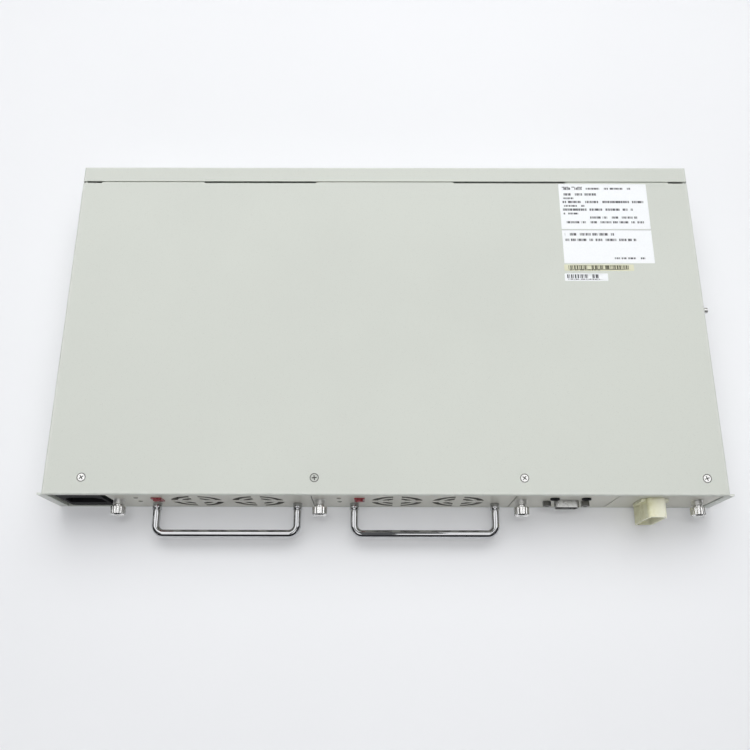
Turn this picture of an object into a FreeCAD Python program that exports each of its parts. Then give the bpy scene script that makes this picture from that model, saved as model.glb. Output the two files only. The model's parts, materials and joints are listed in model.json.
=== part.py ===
"""Rack-width dc power supply: a chassis with two plug-in rectifiers, a monitor and an output module.

Millimetres. X runs to the right seen from the front, Y to the back and Z up.
The origin is the middle of the chassis floor's underside.
"""

import FreeCAD
import Part
import math
import os

V = FreeCAD.Vector

# Sheet metal and clearances
SHEET = 1.2              # chassis, cover, rail, guides and plates
TRAY_SHEET = 0.7         # module trays and lids
PANEL = 1.5              # module front panels
BOARD = 1.6              # circuit boards
EDGE_ROUND = 1.1         # outer radius of the cover's folded edges
RUN_GAP = 0.3            # between faces that slide past each other
SIDE_GAP = 0.4           # between a module tray and its guides
PANEL_GAP = 0.6          # between neighbouring front panels
TURN_FIT = 0.08          # radial clearance round a shaft or screw that turns
SEAT_FIT = 0.05          # radial clearance round a fixed screw or stud

# Chassis and cover
DEPTH = 240.0
AC_BAY = 35.7            # bay of the mains inlet
RECTIFIER_PITCH = 131.0  # width of a rectifier bay
HALF_PITCH = 65.15       # width of the monitor bay and of the output bay
WALL_MARGIN = 1.2        # from the outermost bay to the chassis wall
SKIRT_GAP = 0.4          # between the chassis wall and the cover's skirt
SKIRT_DROP = 6.5
FLANGE_REACH = 3.0       # front flange beyond the cover's side
REAR_FLANGE = 11.7       # top flange of the rear wall
SEAM_GAP = 1.6           # open seam between the cover and the rear flange, beside the tongues
REAR_PLENUM = 25.0       # from the backplane to the back face
RAIL_WIDTH = 20.0
RAIL_TAB = 8.0
GUIDE_WIDTH = 10.1       # channel between two bays
RIGHT_GUIDE_WIDTH = 17.2
TONGUE_WIDTHS = (74.0, 99.0, 74.0)
TONGUE_SPREAD = 167.2    # outer tongues from the middle
TONGUE_REACH = 8.0       # under the rear flange
JOGGLE = 0.8             # length of a tongue's step
TONGUE_GAP = 0.15        # from the step to the rear flange
VENT_COUNT = 14
VENT_WIDTH = 4.0
VENT_HEIGHT = 16.0
VENT_MIDDLE = 14.2        # above the floor that the case stands on
VENT_PITCH = 7.5
EAR_HOLE_RADIUS = 1.65   # tapped holes in the side walls for rack ears
EAR_HOLE_SETBACK = 14.0
EAR_HOLE_PITCH_Y = 20.0
EAR_HOLE_BASE = 12.0
EAR_HOLE_PITCH_Z = 16.0

# Cover screws
SCREW_SETBACK = 11.0
SCREW_HEAD_RADIUS = 2.9
SCREW_RADIUS = 1.5
CROSS_LENGTH = 3.2
CROSS_WIDTH = 0.7
CROSS_DEPTH = 0.8
CROSS_TURNS = (35.0, 8.0, 50.0, 20.0)   # degrees, from left to right
AC_SCREW_OFFSET = 20.4
RECTIFIER_SCREW_OFFSET = 2.1
MONITOR_SCREW_OFFSET = 4.9
OUTPUT_SCREW_INSET = 9.4

# Ground terminal on the right wall
GROUND_SETBACK = 131.7
GROUND_DROP = 10.6       # below the top of the unit
STUD_RADIUS = 2.0
STUD_REACH = 7.6
WASHER_RADIUS = 3.8
WASHER = 1.2
NUT_FLATS = 7.0
NUT = 3.2

# Mains inlet
AC_RECESS = 3.0
INLET_OFFSET = 16.75     # middle from the bay's left edge
INLET_FLANGE_WIDTH = 28.5
INLET_FLANGE_HEIGHT = 36.0
INLET_FLANGE = 2.5
INLET_FLANGE_CORNER = 2.0
INLET_BODY_WIDTH = 27.0
INLET_BODY_HEIGHT = 21.0
INLET_BODY_DEPTH = 24.0
CAVITY_WIDTH = 24.4
CAVITY_HEIGHT = 16.6
CAVITY_CHAMFER = 4.6
CAVITY_DEPTH = 17.5
BLADE_SPACING = 7.0
BLADE_RISE = 2.0
BLADE_WIDTH = 2.0
BLADE_HEIGHT = 4.0
BLADE_SETBACK = 5.0      # blade tips below the inlet's rim
BLADE_TAB = 8.0
LEAD_RADIUS = 1.6

# Backplane
BACKPLANE_TOP = 30.0
SOCKET_DEPTH = 12.0
SOCKET_WALL = 2.0
SOCKET_FLOOR = 2.0
TRAY_END_GAP = 1.4
PLUG_GAP = 0.5
PLUG_HEIGHT = 8.0
PLUG_ROOT = 14.0         # plug length on its board, inside the tray
RECTIFIER_PLUG = 40.0
HALF_PLUG = 22.0

# Module trays
BOSS_RADIUS = 2.5
BOSS_HEIGHT = 2.4
BOSS_INSET = 8.0
BOARD_MARGIN = 2.0
TRAY_WINDOW_WIDTH = 26.0
TRAY_WINDOW_HEIGHT = 22.0
TRAY_WINDOW_BASE = 14.0

# Captive thumbscrews
THUMB_RISE = 24.3        # above the panel's lower edge
OUTPUT_THUMB_INSET = 11.0
KNOB_RADIUS = 4.9
KNOB_LENGTH = 6.0
KNOB_TEETH = 18
KNURL = 0.35
KNOB_CHAMFER = 0.7
DRIVE_SLOT = 1.0
NECK_RADIUS = 3.0
NECK = 1.0
FERRULE_RADIUS = 3.6
FERRULE = 3.2
THUMB_RADIUS = 2.0
THUMB_TIP = 5.0          # shank behind the panel

# Rectifier fans and grilles
FAN_SIZE = 38.0
FAN_DEPTH = 20.0
FAN_GAP = 2.0
FAN_OFFSET = 55.2
FAN_BORE = 17.6
ROTOR_HUB = 8.6
BLADE_COUNT = 5
BLADE_TIP = 16.2
FAN_BLADE = 0.9
FAN_CHORD = 11.0
FAN_PITCH_ANGLE = 40.0
ROTOR_FRONT_GAP = 2.5
ROTOR_BACK_GAP = 0.6
SHAFT_RADIUS = 1.0
SHAFT_LENGTH = 2.8
MOTOR_BASE = 4.0
STRUT = 3.0
GRILLE_RINGS = ((6.2, 10.3), (12.9, 17.0))
GRILLE_BAR = 5.5

# Rectifier handle
HANDLE_OFFSET = 27.05
HANDLE_INSET = 10.65     # right leg from the bay's right edge
HANDLE_REACH = 20.2
HANDLE_RISE = 12.5       # above the panel's lower edge
ROD_RADIUS = 2.6
ROD_BEND = 5.5
COLLAR_RADIUS = 3.1
COLLAR = 4.6
HANDLE_STUD = 1.5

# Rectifier switch and lamps
SWITCH_OFFSET = 30.7
SWITCH_RISE = 26.5       # middle above the panel's lower edge
ROCKER_WIDTH = 4.2
ROCKER_HEIGHT = 7.6
ROCKER_DISH = 0.7
ROCKER_CREST = 1.5
ROCKER_KEEL = 2.6
ROCKER_TILT = 8.0
ROCKER_PIVOT = 0.6       # behind the panel's face
PIVOT_RADIUS = 0.8
PIVOT_ENGAGE = 0.4
POCKET_GAP = 0.6
POCKET_DEPTH = 5.5
SWITCH_WALL = 0.7
SWITCH_BEZEL = 0.8
SWITCH_BEZEL_RIM = 0.3
SWITCH_BODY_DEPTH = 10.0
LAMP_OFFSET = 17.5
LAMP_RISES = (19.0, 31.0)
LAMP_RADIUS = 1.5
LAMP_PROUD = 0.6
LAMP_TAIL = 4.0

# Rectifier power parts
BOARD_SETBACK = 4.0      # behind the fans
HEATSINK_WIDTH = 24.0
HEATSINK_LENGTH = 130.0
HEATSINK_HEIGHT = 27.0
HEATSINK_BASE = 3.0
HEATSINK_FINS = 6
FIN = 1.4
CORE_SIZE = (34.0, 18.0, 27.0)
WINDING_SIZE = (24.0, 30.0, 19.0)
TRANSFORMER_SETBACKS = (52.0, 96.0)
TRANSFORMER_OFFSET = 60.0
CAN_RADIUS = 9.0
CAN_HEIGHT = 28.0
CAN_PITCH = 21.0
CAN_COUNT = 3
CAN_OFFSET = 46.0
CAN_SETBACK = 14.0

# Monitor module
SERIAL_OFFSET = 34.6
SERIAL_LIFT = 2.0        # above the middle of the panel
SHELL_WIDTH = 17.0
SHELL_HEIGHT = 8.4
SHELL_SLANT = 10.0
SHELL_CORNER = 2.2
SHELL_WALL = 0.6
SHELL_PROUD = 4.6
SHELL_FLANGE_WIDTH = 30.8
SHELL_FLANGE_HEIGHT = 12.5
SHELL_FLANGE = 0.8
INSERT_DEPTH = 10.0
INSERT_WIDTH = 19.0
INSERT_RECESS = 0.8
CONTACT_HOLE = 0.55
CONTACT_PITCH = 2.77
CONTACT_ROW = 2.84
CONTACT_DEPTH = 5.0
JACK_SPACING = 25.0
JACK_FLATS = 5.0
JACK_LENGTH = 3.4
JACK_BORE = 1.25
JACK_STUD = 1.4
JACK_TAIL = 5.0
BEZEL_OFFSETS = (25.6, 45.9)
BEZEL_RISE = 31.5
BEZEL_RADIUS = 3.0
BEZEL_PROUD = 1.0
BEZEL_BODY_RADIUS = 2.5
BEZEL_DISH = 1.7
BEZEL_TAIL = 6.0

# Output module
OUTPUT_OFFSET = 24.65    # middle of the output connector
HOUSING_WIDTH = 12.0
HOUSING_HEIGHT = 33.0
HOUSING_RISE = 2.5       # above the panel's lower edge
HOUSING_PROUD = 12.5
HOUSING_TAIL = 10.0
HOUSING_WALL = 1.3
HOUSING_CORNER = 3.0
HOUSING_EAR = 3.0        # ears beside the housing, against the panel
HOUSING_EAR_DEPTH = 1.8
HOUSING_EAR_HEIGHT = 20.0
HOUSING_EAR_LIFT = 3.5
SHROUD_DEPTH = 14.0
OUTPUT_PINS = 4
PIN_PITCH = 6.4
PIN_RADIUS = 1.1
PIN_SETBACK = 5.2        # pin tips below the shroud's mouth
PIN_TAIL = 6.0

# Levels, from the floor up
TRAY_BOTTOM = SHEET + RUN_GAP
TRAY_FLOOR = TRAY_BOTTOM + TRAY_SHEET
MID_Z = TRAY_FLOOR + FAN_SIZE / 2
LID_UNDER = TRAY_FLOOR + FAN_SIZE
LID_TOP = LID_UNDER + TRAY_SHEET
RAIL_UNDER = LID_TOP + RUN_GAP
COVER_UNDER = RAIL_UNDER + SHEET
HEIGHT = COVER_UNDER + SHEET
LIP_UNDER = RAIL_UNDER   # front lip of the cover, clear of the lids that slide out under it
PANEL_TOP = LIP_UNDER - RUN_GAP
BOARD_UNDER = TRAY_FLOOR + BOSS_HEIGHT
BOARD_TOP = BOARD_UNDER + BOARD
THUMB_Z = TRAY_BOTTOM + THUMB_RISE
SERIAL_Z = MID_Z + SERIAL_LIFT

# Places across the width
BAY_SPAN = AC_BAY + 2 * RECTIFIER_PITCH + 2 * HALF_PITCH
BAY_LEFT = -BAY_SPAN / 2
BAY_RIGHT = BAY_SPAN / 2
RECTIFIER_LEFTS = (BAY_LEFT + AC_BAY, BAY_LEFT + AC_BAY + RECTIFIER_PITCH)
MONITOR_LEFT = BAY_LEFT + AC_BAY + 2 * RECTIFIER_PITCH
OUTPUT_LEFT = MONITOR_LEFT + HALF_PITCH
THUMB_OFFSET = KNOB_RADIUS   # a knob keeps inside its own bay
GUIDE_OFFSET = SIDE_GAP - PANEL_GAP / 2   # guide from the bay's left edge
RIGHT_GUIDE_LEFT = BAY_RIGHT - PANEL_GAP / 2 - RIGHT_GUIDE_WIDTH
WALL_IN = BAY_RIGHT + WALL_MARGIN
WALL_OUT = WALL_IN + SHEET
SKIRT_IN = WALL_OUT + SKIRT_GAP
COVER_HALF = SKIRT_IN + SHEET
FLANGE_TIP = COVER_HALF + FLANGE_REACH

# Places along the depth
FRONT = -DEPTH / 2
BACK = DEPTH / 2
PANEL_BACK = FRONT + PANEL
GUIDE_FRONT = PANEL_BACK + RUN_GAP
FAN_BACK = PANEL_BACK + FAN_DEPTH
SEAM = BACK - REAR_FLANGE
COVER_REAR = SEAM - SEAM_GAP
BACKPLANE_BACK = BACK - REAR_PLENUM
BACKPLANE_FRONT = BACKPLANE_BACK - BOARD
SOCKET_FRONT = BACKPLANE_FRONT - SOCKET_DEPTH
TRAY_BACK = SOCKET_FRONT - TRAY_END_GAP
PLUG_TIP = BACKPLANE_FRONT - SOCKET_FLOOR - TRAY_END_GAP
BOARD_FRONT = FAN_BACK + BOARD_SETBACK
MONITOR_BOARD_FRONT = PANEL_BACK + BOARD_MARGIN
OUTPUT_BOARD_FRONT = PANEL_BACK + HOUSING_TAIL + BOARD_MARGIN
BOARD_BACK = TRAY_BACK - TRAY_SHEET - RUN_GAP

COVER_SCREW_XS = (
    BAY_LEFT + AC_SCREW_OFFSET,
    RECTIFIER_LEFTS[1] + RECTIFIER_SCREW_OFFSET,
    MONITOR_LEFT + MONITOR_SCREW_OFFSET,
    BAY_RIGHT - OUTPUT_SCREW_INSET,
)
SCREW_Y = FRONT + SCREW_SETBACK


# Shape helpers

def box(x0, x1, y0, y1, z0, z1):
    return Part.makeBox(x1 - x0, y1 - y0, z1 - z0, V(x0, y0, z0))


def rod_y(x, z, radius, y0, y1):
    return Part.makeCylinder(radius, y1 - y0, V(x, y0, z), V(0, 1, 0))


def rod_x(y, z, radius, x0, x1):
    return Part.makeCylinder(radius, x1 - x0, V(x0, y, z), V(1, 0, 0))


def rod_z(x, y, radius, z0, z1):
    return Part.makeCylinder(radius, z1 - z0, V(x, y, z0))


def prism_y(points, y0, y1):
    """Extrude an outline of (x, z) points along Y."""
    corners = [V(x, y0, z) for x, z in points]
    face = Part.Face(Part.makePolygon(corners + corners[:1]))
    return face.extrude(V(0, y1 - y0, 0))


def prism_x(points, x0, x1):
    """Extrude an outline of (y, z) points along X."""
    corners = [V(x0, y, z) for y, z in points]
    face = Part.Face(Part.makePolygon(corners + corners[:1]))
    return face.extrude(V(x1 - x0, 0, 0))


def polygon(count, radius, start_deg=0.0):
    angles = [math.radians(start_deg + 360.0 * i / count) for i in range(count)]
    return [(radius * math.cos(a), radius * math.sin(a)) for a in angles]


def fuse(*shapes):
    whole = shapes[0]
    if len(shapes) > 1:
        whole = whole.multiFuse(list(shapes[1:]))
    return whole.removeSplitter()


def cut(shape, *tools):
    return shape.cut(list(tools)) if tools else shape


def round_edges(shape, radius, wanted):
    return shape.makeFillet(radius, [edge for edge in shape.Edges if wanted(edge)])


def along(edge, axis):
    """True for a straight edge that runs along one axis: 0, 1 or 2."""
    ends = [vertex.Point for vertex in edge.Vertexes]
    if len(ends) != 2 or not isinstance(edge.Curve, Part.Line):
        return False
    span = ends[1] - ends[0]
    return abs(abs(span[axis]) - span.Length) < 1e-6


def save(name, *solids):
    shape = solids[0] if len(solids) == 1 else Part.makeCompound(list(solids))
    shape.exportStep(f"parts/{name}.step")


# Chassis

def chassis_tray():
    """Folded tray: floor, side walls with front flanges, and a vented rear wall with a top flange."""
    floor = box(-WALL_OUT, WALL_OUT, FRONT, BACK, 0, SHEET)
    rear = box(-WALL_OUT, WALL_OUT, BACK - SHEET, BACK, 0, HEIGHT)
    top = box(-COVER_HALF, COVER_HALF, SEAM, BACK, COVER_UNDER, HEIGHT)
    pieces = [floor, rear, top]
    for side in (-1, 1):
        wall = sorted((side * WALL_IN, side * WALL_OUT))
        flange = sorted((side * WALL_IN, side * FLANGE_TIP))
        lip = sorted((side * SKIRT_IN, side * COVER_HALF))
        pieces.append(box(*wall, FRONT, BACK, 0, COVER_UNDER))
        pieces.append(box(*flange, FRONT, FRONT + SHEET, 0, COVER_UNDER))
        pieces.append(box(*lip, SEAM, BACK, HEIGHT - SKIRT_DROP, HEIGHT))
    tray = fuse(*pieces)
    rounded = min(EDGE_ROUND, 0.95 * SHEET)

    def outer_fold(edge):
        mid = edge.CenterOfMass
        on_side = abs(abs(mid.x) - WALL_OUT) < 1e-6 and abs(mid.z) < 1e-6 and along(edge, 1)
        on_lip = abs(abs(mid.x) - COVER_HALF) < 1e-6 and abs(mid.z - HEIGHT) < 1e-6 and along(edge, 1)
        on_back = abs(mid.y - BACK) < 1e-6 and abs(mid.z - HEIGHT) < 1e-6 and along(edge, 0)
        return on_side or on_lip or on_back

    tray = round_edges(tray, rounded, outer_fold)
    return cut(tray, *rear_vents(), *ear_holes(), ground_hole())


def rear_vents():
    """Upright exhaust slots behind each rectifier."""
    slots = []
    for left in RECTIFIER_LEFTS:
        tray_left, tray_right = rectifier_tray_sides(left)
        middle = (tray_left + tray_right) / 2
        for i in range(VENT_COUNT):
            x = middle + (i - (VENT_COUNT - 1) / 2) * VENT_PITCH
            slots.append(box(x - VENT_WIDTH / 2, x + VENT_WIDTH / 2, BACK - 2 * SHEET, BACK + SHEET,
                             VENT_MIDDLE - VENT_HEIGHT / 2, VENT_MIDDLE + VENT_HEIGHT / 2))
    return slots


def ear_holes():
    """Four tapped holes in each side wall, where a rack ear bolts on."""
    holes = []
    for side in (-1, 1):
        ends = sorted((side * (WALL_IN - SHEET), side * (WALL_OUT + SHEET)))
        for i in range(2):
            for k in range(2):
                y = FRONT + EAR_HOLE_SETBACK + i * EAR_HOLE_PITCH_Y
                z = EAR_HOLE_BASE + k * EAR_HOLE_PITCH_Z
                holes.append(rod_x(y, z, EAR_HOLE_RADIUS, *ends))
    return holes


def ground_hole():
    return rod_x(FRONT + GROUND_SETBACK, HEIGHT - GROUND_DROP, STUD_RADIUS + SEAT_FIT,
                 WALL_IN - SHEET, WALL_OUT + SHEET)


def ground_terminal():
    """Stud with a head inside the wall, and a washer and a nut outside."""
    y = FRONT + GROUND_SETBACK
    z = HEIGHT - GROUND_DROP
    stud = fuse(rod_x(y, z, STUD_RADIUS, WALL_IN, WALL_OUT + STUD_REACH),
                rod_x(y, z, WASHER_RADIUS, WALL_IN - WASHER, WALL_IN))
    washer = rod_x(y, z, WASHER_RADIUS, WALL_OUT, WALL_OUT + WASHER)
    corners = polygon(6, NUT_FLATS / math.sqrt(3), 30.0)
    outline = [(y + b, z + a) for a, b in corners]
    nut = prism_x(outline, WALL_OUT + WASHER, WALL_OUT + WASHER + NUT)
    bore = rod_x(y, z, STUD_RADIUS + SEAT_FIT, WALL_OUT, WALL_OUT + STUD_REACH + SHEET)
    return stud, cut(washer, bore), cut(nut, bore)


def top_cover():
    """Lid with a front lip, side skirts and three stepped tongues that slip under the rear flange."""
    pieces = [box(-COVER_HALF, COVER_HALF, FRONT, COVER_REAR, COVER_UNDER, HEIGHT)]
    lip_half = WALL_IN - RUN_GAP
    pieces.append(box(-lip_half, lip_half, FRONT, FRONT + SHEET, LIP_UNDER, HEIGHT))
    for side in (-1, 1):
        skirt = sorted((side * SKIRT_IN, side * COVER_HALF))
        pieces.append(box(*skirt, FRONT + SHEET + RUN_GAP, COVER_REAR, HEIGHT - SKIRT_DROP, HEIGHT))
    plate = fuse(*pieces)
    rounded = min(EDGE_ROUND, 0.95 * SHEET)

    def outer_fold(edge):
        mid = edge.CenterOfMass
        on_top = abs(mid.z - HEIGHT) < 1e-6
        on_side = abs(abs(mid.x) - COVER_HALF) < 1e-6 and along(edge, 1)
        on_front = abs(mid.y - FRONT) < 1e-6 and along(edge, 0)
        return on_top and (on_side or on_front)

    plate = round_edges(plate, rounded, outer_fold)
    cover = fuse(plate, *tongues())
    return cut(cover, *[countersink(x) for x in COVER_SCREW_XS])


def tongues():
    drop = SHEET + RUN_GAP / 3
    y2 = SEAM - TONGUE_GAP
    y1 = y2 - JOGGLE
    y3 = SEAM + TONGUE_REACH
    root = COVER_REAR - SHEET
    back = SHEET * math.tan(math.atan2(drop, JOGGLE) / 2)   # keeps the step as thick as the sheet
    step = [(root, HEIGHT), (y1, HEIGHT), (y2, HEIGHT - drop), (y3, HEIGHT - drop),
            (y3, COVER_UNDER - drop), (y2 - back, COVER_UNDER - drop), (y1 - back, COVER_UNDER),
            (root, COVER_UNDER)]
    middles = (-TONGUE_SPREAD, 0.0, TONGUE_SPREAD)
    return [prism_x(step, x - w / 2, x + w / 2) for x, w in zip(middles, TONGUE_WIDTHS)]


def countersink(x):
    seat = V(x, SCREW_Y, COVER_UNDER)
    return Part.makeCone(SCREW_RADIUS + SEAT_FIT, SCREW_HEAD_RADIUS + SEAT_FIT, SHEET, seat)


def cover_screw(x, turn):
    """Countersunk cross-head screw, flush with the cover, its cross turned by some degrees."""
    head = Part.makeCone(SCREW_RADIUS, SCREW_HEAD_RADIUS, SHEET, V(x, SCREW_Y, COVER_UNDER))
    shank = rod_z(x, SCREW_Y, SCREW_RADIUS, RAIL_UNDER, COVER_UNDER)
    half = CROSS_LENGTH / 2
    thin = CROSS_WIDTH / 2
    base = HEIGHT - CROSS_DEPTH
    cross = fuse(box(x - half, x + half, SCREW_Y - thin, SCREW_Y + thin, base, HEIGHT),
                 box(x - thin, x + thin, SCREW_Y - half, SCREW_Y + half, base, HEIGHT))
    cross.rotate(V(x, SCREW_Y, base), V(0, 0, 1), turn)
    return cut(fuse(head, shank), cross)


def front_rail():
    """Strip under the cover's front edge, tapped for the cover screws and tabbed to both walls."""
    rear = GUIDE_FRONT + RAIL_WIDTH
    pieces = [box(-WALL_IN, WALL_IN, GUIDE_FRONT, rear, RAIL_UNDER, COVER_UNDER)]
    for side in (-1, 1):
        tab = sorted((side * (WALL_IN - SHEET), side * WALL_IN))
        pieces.append(box(*tab, GUIDE_FRONT, rear, RAIL_UNDER - RAIL_TAB, COVER_UNDER))
    holes = [rod_z(x, SCREW_Y, SCREW_RADIUS + SEAT_FIT, RAIL_UNDER, COVER_UNDER) for x in COVER_SCREW_XS]
    return cut(fuse(*pieces), *holes)


def guide_channel(left, right, screw_x):
    """Channel between two bays: a tapped front web and two walls that run back to the backplane."""
    block = box(left, right, GUIDE_FRONT, BACKPLANE_FRONT, SHEET, RAIL_UNDER)
    hollow = box(left + SHEET, right - SHEET, GUIDE_FRONT + SHEET, BACKPLANE_FRONT, SHEET, RAIL_UNDER)
    hole = rod_y(screw_x, THUMB_Z, THUMB_RADIUS + TURN_FIT, GUIDE_FRONT, GUIDE_FRONT + SHEET)
    return cut(block, hollow, hole)


def guide_channels():
    """Three channels, a flat wall between the two half-width bays and a channel at the right wall."""
    guides = []
    for left in RECTIFIER_LEFTS + (MONITOR_LEFT,):
        start = left + GUIDE_OFFSET
        guides.append(guide_channel(start, start + GUIDE_WIDTH, left + THUMB_OFFSET))
    guides.append(guide_channel(RIGHT_GUIDE_LEFT, RIGHT_GUIDE_LEFT + RIGHT_GUIDE_WIDTH - SHEET,
                                BAY_RIGHT - OUTPUT_THUMB_INSET))
    guides.append(box(OUTPUT_LEFT - SHEET / 2, OUTPUT_LEFT + SHEET / 2, GUIDE_FRONT, BACKPLANE_FRONT,
                      SHEET, RAIL_UNDER))
    return guides


# Mains inlet

INLET_X = BAY_LEFT + INLET_OFFSET
INLET_Z = (SHEET + RAIL_UNDER) / 2
PLATE_FRONT = FRONT + AC_RECESS
INLET_RIM = PLATE_FRONT - INLET_FLANGE
BLADE_PLACES = ((-BLADE_SPACING, -BLADE_RISE), (0.0, BLADE_RISE), (BLADE_SPACING, -BLADE_RISE))


def centred_block(width, height, y0, y1):
    """Block about the inlet's axis."""
    return box(INLET_X - width / 2, INLET_X + width / 2, y0, y1, INLET_Z - height / 2, INLET_Z + height / 2)


def ac_bay_plate():
    plate = box(BAY_LEFT + PANEL_GAP / 2, BAY_LEFT + AC_BAY - PANEL_GAP / 2, PLATE_FRONT, PLATE_FRONT + SHEET,
                SHEET, RAIL_UNDER)
    return cut(plate, centred_block(INLET_BODY_WIDTH + 2 * SEAT_FIT, INLET_BODY_HEIGHT + 2 * SEAT_FIT,
                                    PLATE_FRONT, PLATE_FRONT + SHEET))


def inlet_cavity():
    """Six-sided socket: a rectangle with its two upper corners cut off."""
    half = CAVITY_WIDTH / 2
    top = INLET_Z + CAVITY_HEIGHT / 2
    low = INLET_Z - CAVITY_HEIGHT / 2
    outline = [(INLET_X - half, low), (INLET_X + half, low), (INLET_X + half, top - CAVITY_CHAMFER),
               (INLET_X + half - CAVITY_CHAMFER, top), (INLET_X - half + CAVITY_CHAMFER, top),
               (INLET_X - half, top - CAVITY_CHAMFER)]
    return prism_y(outline, INLET_RIM, INLET_RIM + CAVITY_DEPTH)


def blade(x_off, z_off, y0, y1):
    x = INLET_X + x_off
    z = INLET_Z + z_off
    return box(x - BLADE_WIDTH / 2, x + BLADE_WIDTH / 2, y0, y1, z - BLADE_HEIGHT / 2, z + BLADE_HEIGHT / 2)


def ac_inlet_housing():
    flange = centred_block(INLET_FLANGE_WIDTH, INLET_FLANGE_HEIGHT, INLET_RIM, PLATE_FRONT)
    flange = round_edges(flange, INLET_FLANGE_CORNER, lambda edge: along(edge, 1))
    body = centred_block(INLET_BODY_WIDTH, INLET_BODY_HEIGHT, PLATE_FRONT, PLATE_FRONT + INLET_BODY_DEPTH)
    slots = [blade(x, z, INLET_RIM + CAVITY_DEPTH, PLATE_FRONT + INLET_BODY_DEPTH) for x, z in BLADE_PLACES]
    return cut(fuse(flange, body), inlet_cavity(), *slots)


def ac_inlet_blades():
    tail = PLATE_FRONT + INLET_BODY_DEPTH + BLADE_TAB
    return [blade(x, z, INLET_RIM + BLADE_SETBACK, tail) for x, z in BLADE_PLACES]


def ac_leads():
    """Insulated leads from the inlet's tabs straight back to the backplane."""
    start = PLATE_FRONT + INLET_BODY_DEPTH + BLADE_TAB
    return [rod_y(INLET_X + x, INLET_Z + z, LEAD_RADIUS, start, BACKPLANE_FRONT) for x, z in BLADE_PLACES]


# Backplane

def plug_block(middle, width, margin, y0, y1):
    """Block round a module plug, grown by a margin on its four sides."""
    return box(middle - width / 2 - margin, middle + width / 2 + margin, y0, y1,
               BOARD_TOP - margin, BOARD_TOP + PLUG_HEIGHT + margin)


def plug_places():
    """Middle and width of each module's rear plug."""
    places = []
    for left in RECTIFIER_LEFTS:
        sides = rectifier_tray_sides(left)
        places.append((sum(sides) / 2, RECTIFIER_PLUG))
    places.append((sum(monitor_tray_sides()) / 2, HALF_PLUG))
    places.append((sum(output_tray_sides()) / 2, HALF_PLUG))
    return places


def backplane_board():
    board = box(BAY_LEFT + PANEL_GAP, RIGHT_GUIDE_LEFT + GUIDE_WIDTH, BACKPLANE_FRONT, BACKPLANE_BACK,
                SHEET, BACKPLANE_TOP)
    windows = []
    for left in RECTIFIER_LEFTS:
        windows += air_windows(rectifier_tray_sides(left), BACKPLANE_FRONT, BACKPLANE_BACK, BACKPLANE_TOP)
    return cut(board, *windows)


def air_windows(sides, y0, y1, top):
    """Two openings that let the air past, one each side of the plug."""
    middle = sum(sides) / 2
    shift = RECTIFIER_PLUG / 2 + SOCKET_WALL + TRAY_WINDOW_WIDTH / 2
    low = min(TRAY_WINDOW_BASE, top - SHEET)
    high = min(TRAY_WINDOW_BASE + TRAY_WINDOW_HEIGHT, top + SHEET)
    return [box(middle + s * shift - TRAY_WINDOW_WIDTH / 2, middle + s * shift + TRAY_WINDOW_WIDTH / 2,
                y0, y1, low, high) for s in (-1, 1)]


def backplane_sockets():
    sockets = []
    for middle, width in plug_places():
        outer = plug_block(middle, width, PLUG_GAP + SOCKET_WALL, SOCKET_FRONT, BACKPLANE_FRONT)
        inner = plug_block(middle, width, PLUG_GAP, SOCKET_FRONT, BACKPLANE_FRONT - SOCKET_FLOOR)
        sockets.append(cut(outer, inner))
    return sockets


# Pieces shared by the modules

def rectifier_tray_sides(left):
    start = left + GUIDE_OFFSET + GUIDE_WIDTH + SIDE_GAP
    return start, left + RECTIFIER_PITCH - PANEL_GAP / 2


def monitor_tray_sides():
    start = MONITOR_LEFT + GUIDE_OFFSET + GUIDE_WIDTH + SIDE_GAP
    return start, OUTPUT_LEFT - SHEET / 2 - SIDE_GAP


def output_tray_sides():
    return OUTPUT_LEFT + SHEET / 2 + SIDE_GAP, RIGHT_GUIDE_LEFT - SIDE_GAP


def module_panel(left, width, screw_x, *cutters):
    """Front panel with the thumbscrew's sleeve clinched into it."""
    plate = box(left + PANEL_GAP / 2, left + width - PANEL_GAP / 2, FRONT, PANEL_BACK, TRAY_BOTTOM, PANEL_TOP)
    sleeve = rod_y(screw_x, THUMB_Z, FERRULE_RADIUS, FRONT - FERRULE, FRONT)
    bore = rod_y(screw_x, THUMB_Z, THUMB_RADIUS + TURN_FIT, FRONT - FERRULE, PANEL_BACK)
    return cut(fuse(plate, sleeve), bore, *cutters)


def thumbscrew(x):
    """Captive screw with a knurled knob and a driver slot, on the module's front."""
    seat = FRONT - FERRULE - RUN_GAP
    knob_back = seat - NECK
    knob_front = knob_back - KNOB_LENGTH
    outline = []
    for i in range(2 * KNOB_TEETH):
        angle = math.pi * i / KNOB_TEETH
        radius = KNOB_RADIUS - KNURL * (i % 2)
        outline.append((x + radius * math.cos(angle), THUMB_Z + radius * math.sin(angle)))
    grip = prism_y(outline, knob_front + KNOB_CHAMFER, knob_back)
    crown = Part.makeCone(KNOB_RADIUS - KNURL - KNOB_CHAMFER, KNOB_RADIUS - KNURL, KNOB_CHAMFER,
                          V(x, knob_front, THUMB_Z), V(0, 1, 0))
    neck = rod_y(x, THUMB_Z, NECK_RADIUS, knob_back, seat)
    shank = rod_y(x, THUMB_Z, THUMB_RADIUS, seat, PANEL_BACK + THUMB_TIP)
    slot = box(x - KNOB_RADIUS, x + KNOB_RADIUS, knob_front, knob_front + DRIVE_SLOT,
               THUMB_Z - DRIVE_SLOT / 2, THUMB_Z + DRIVE_SLOT / 2)
    return cut(fuse(grip, crown, neck, shank), slot)


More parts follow.
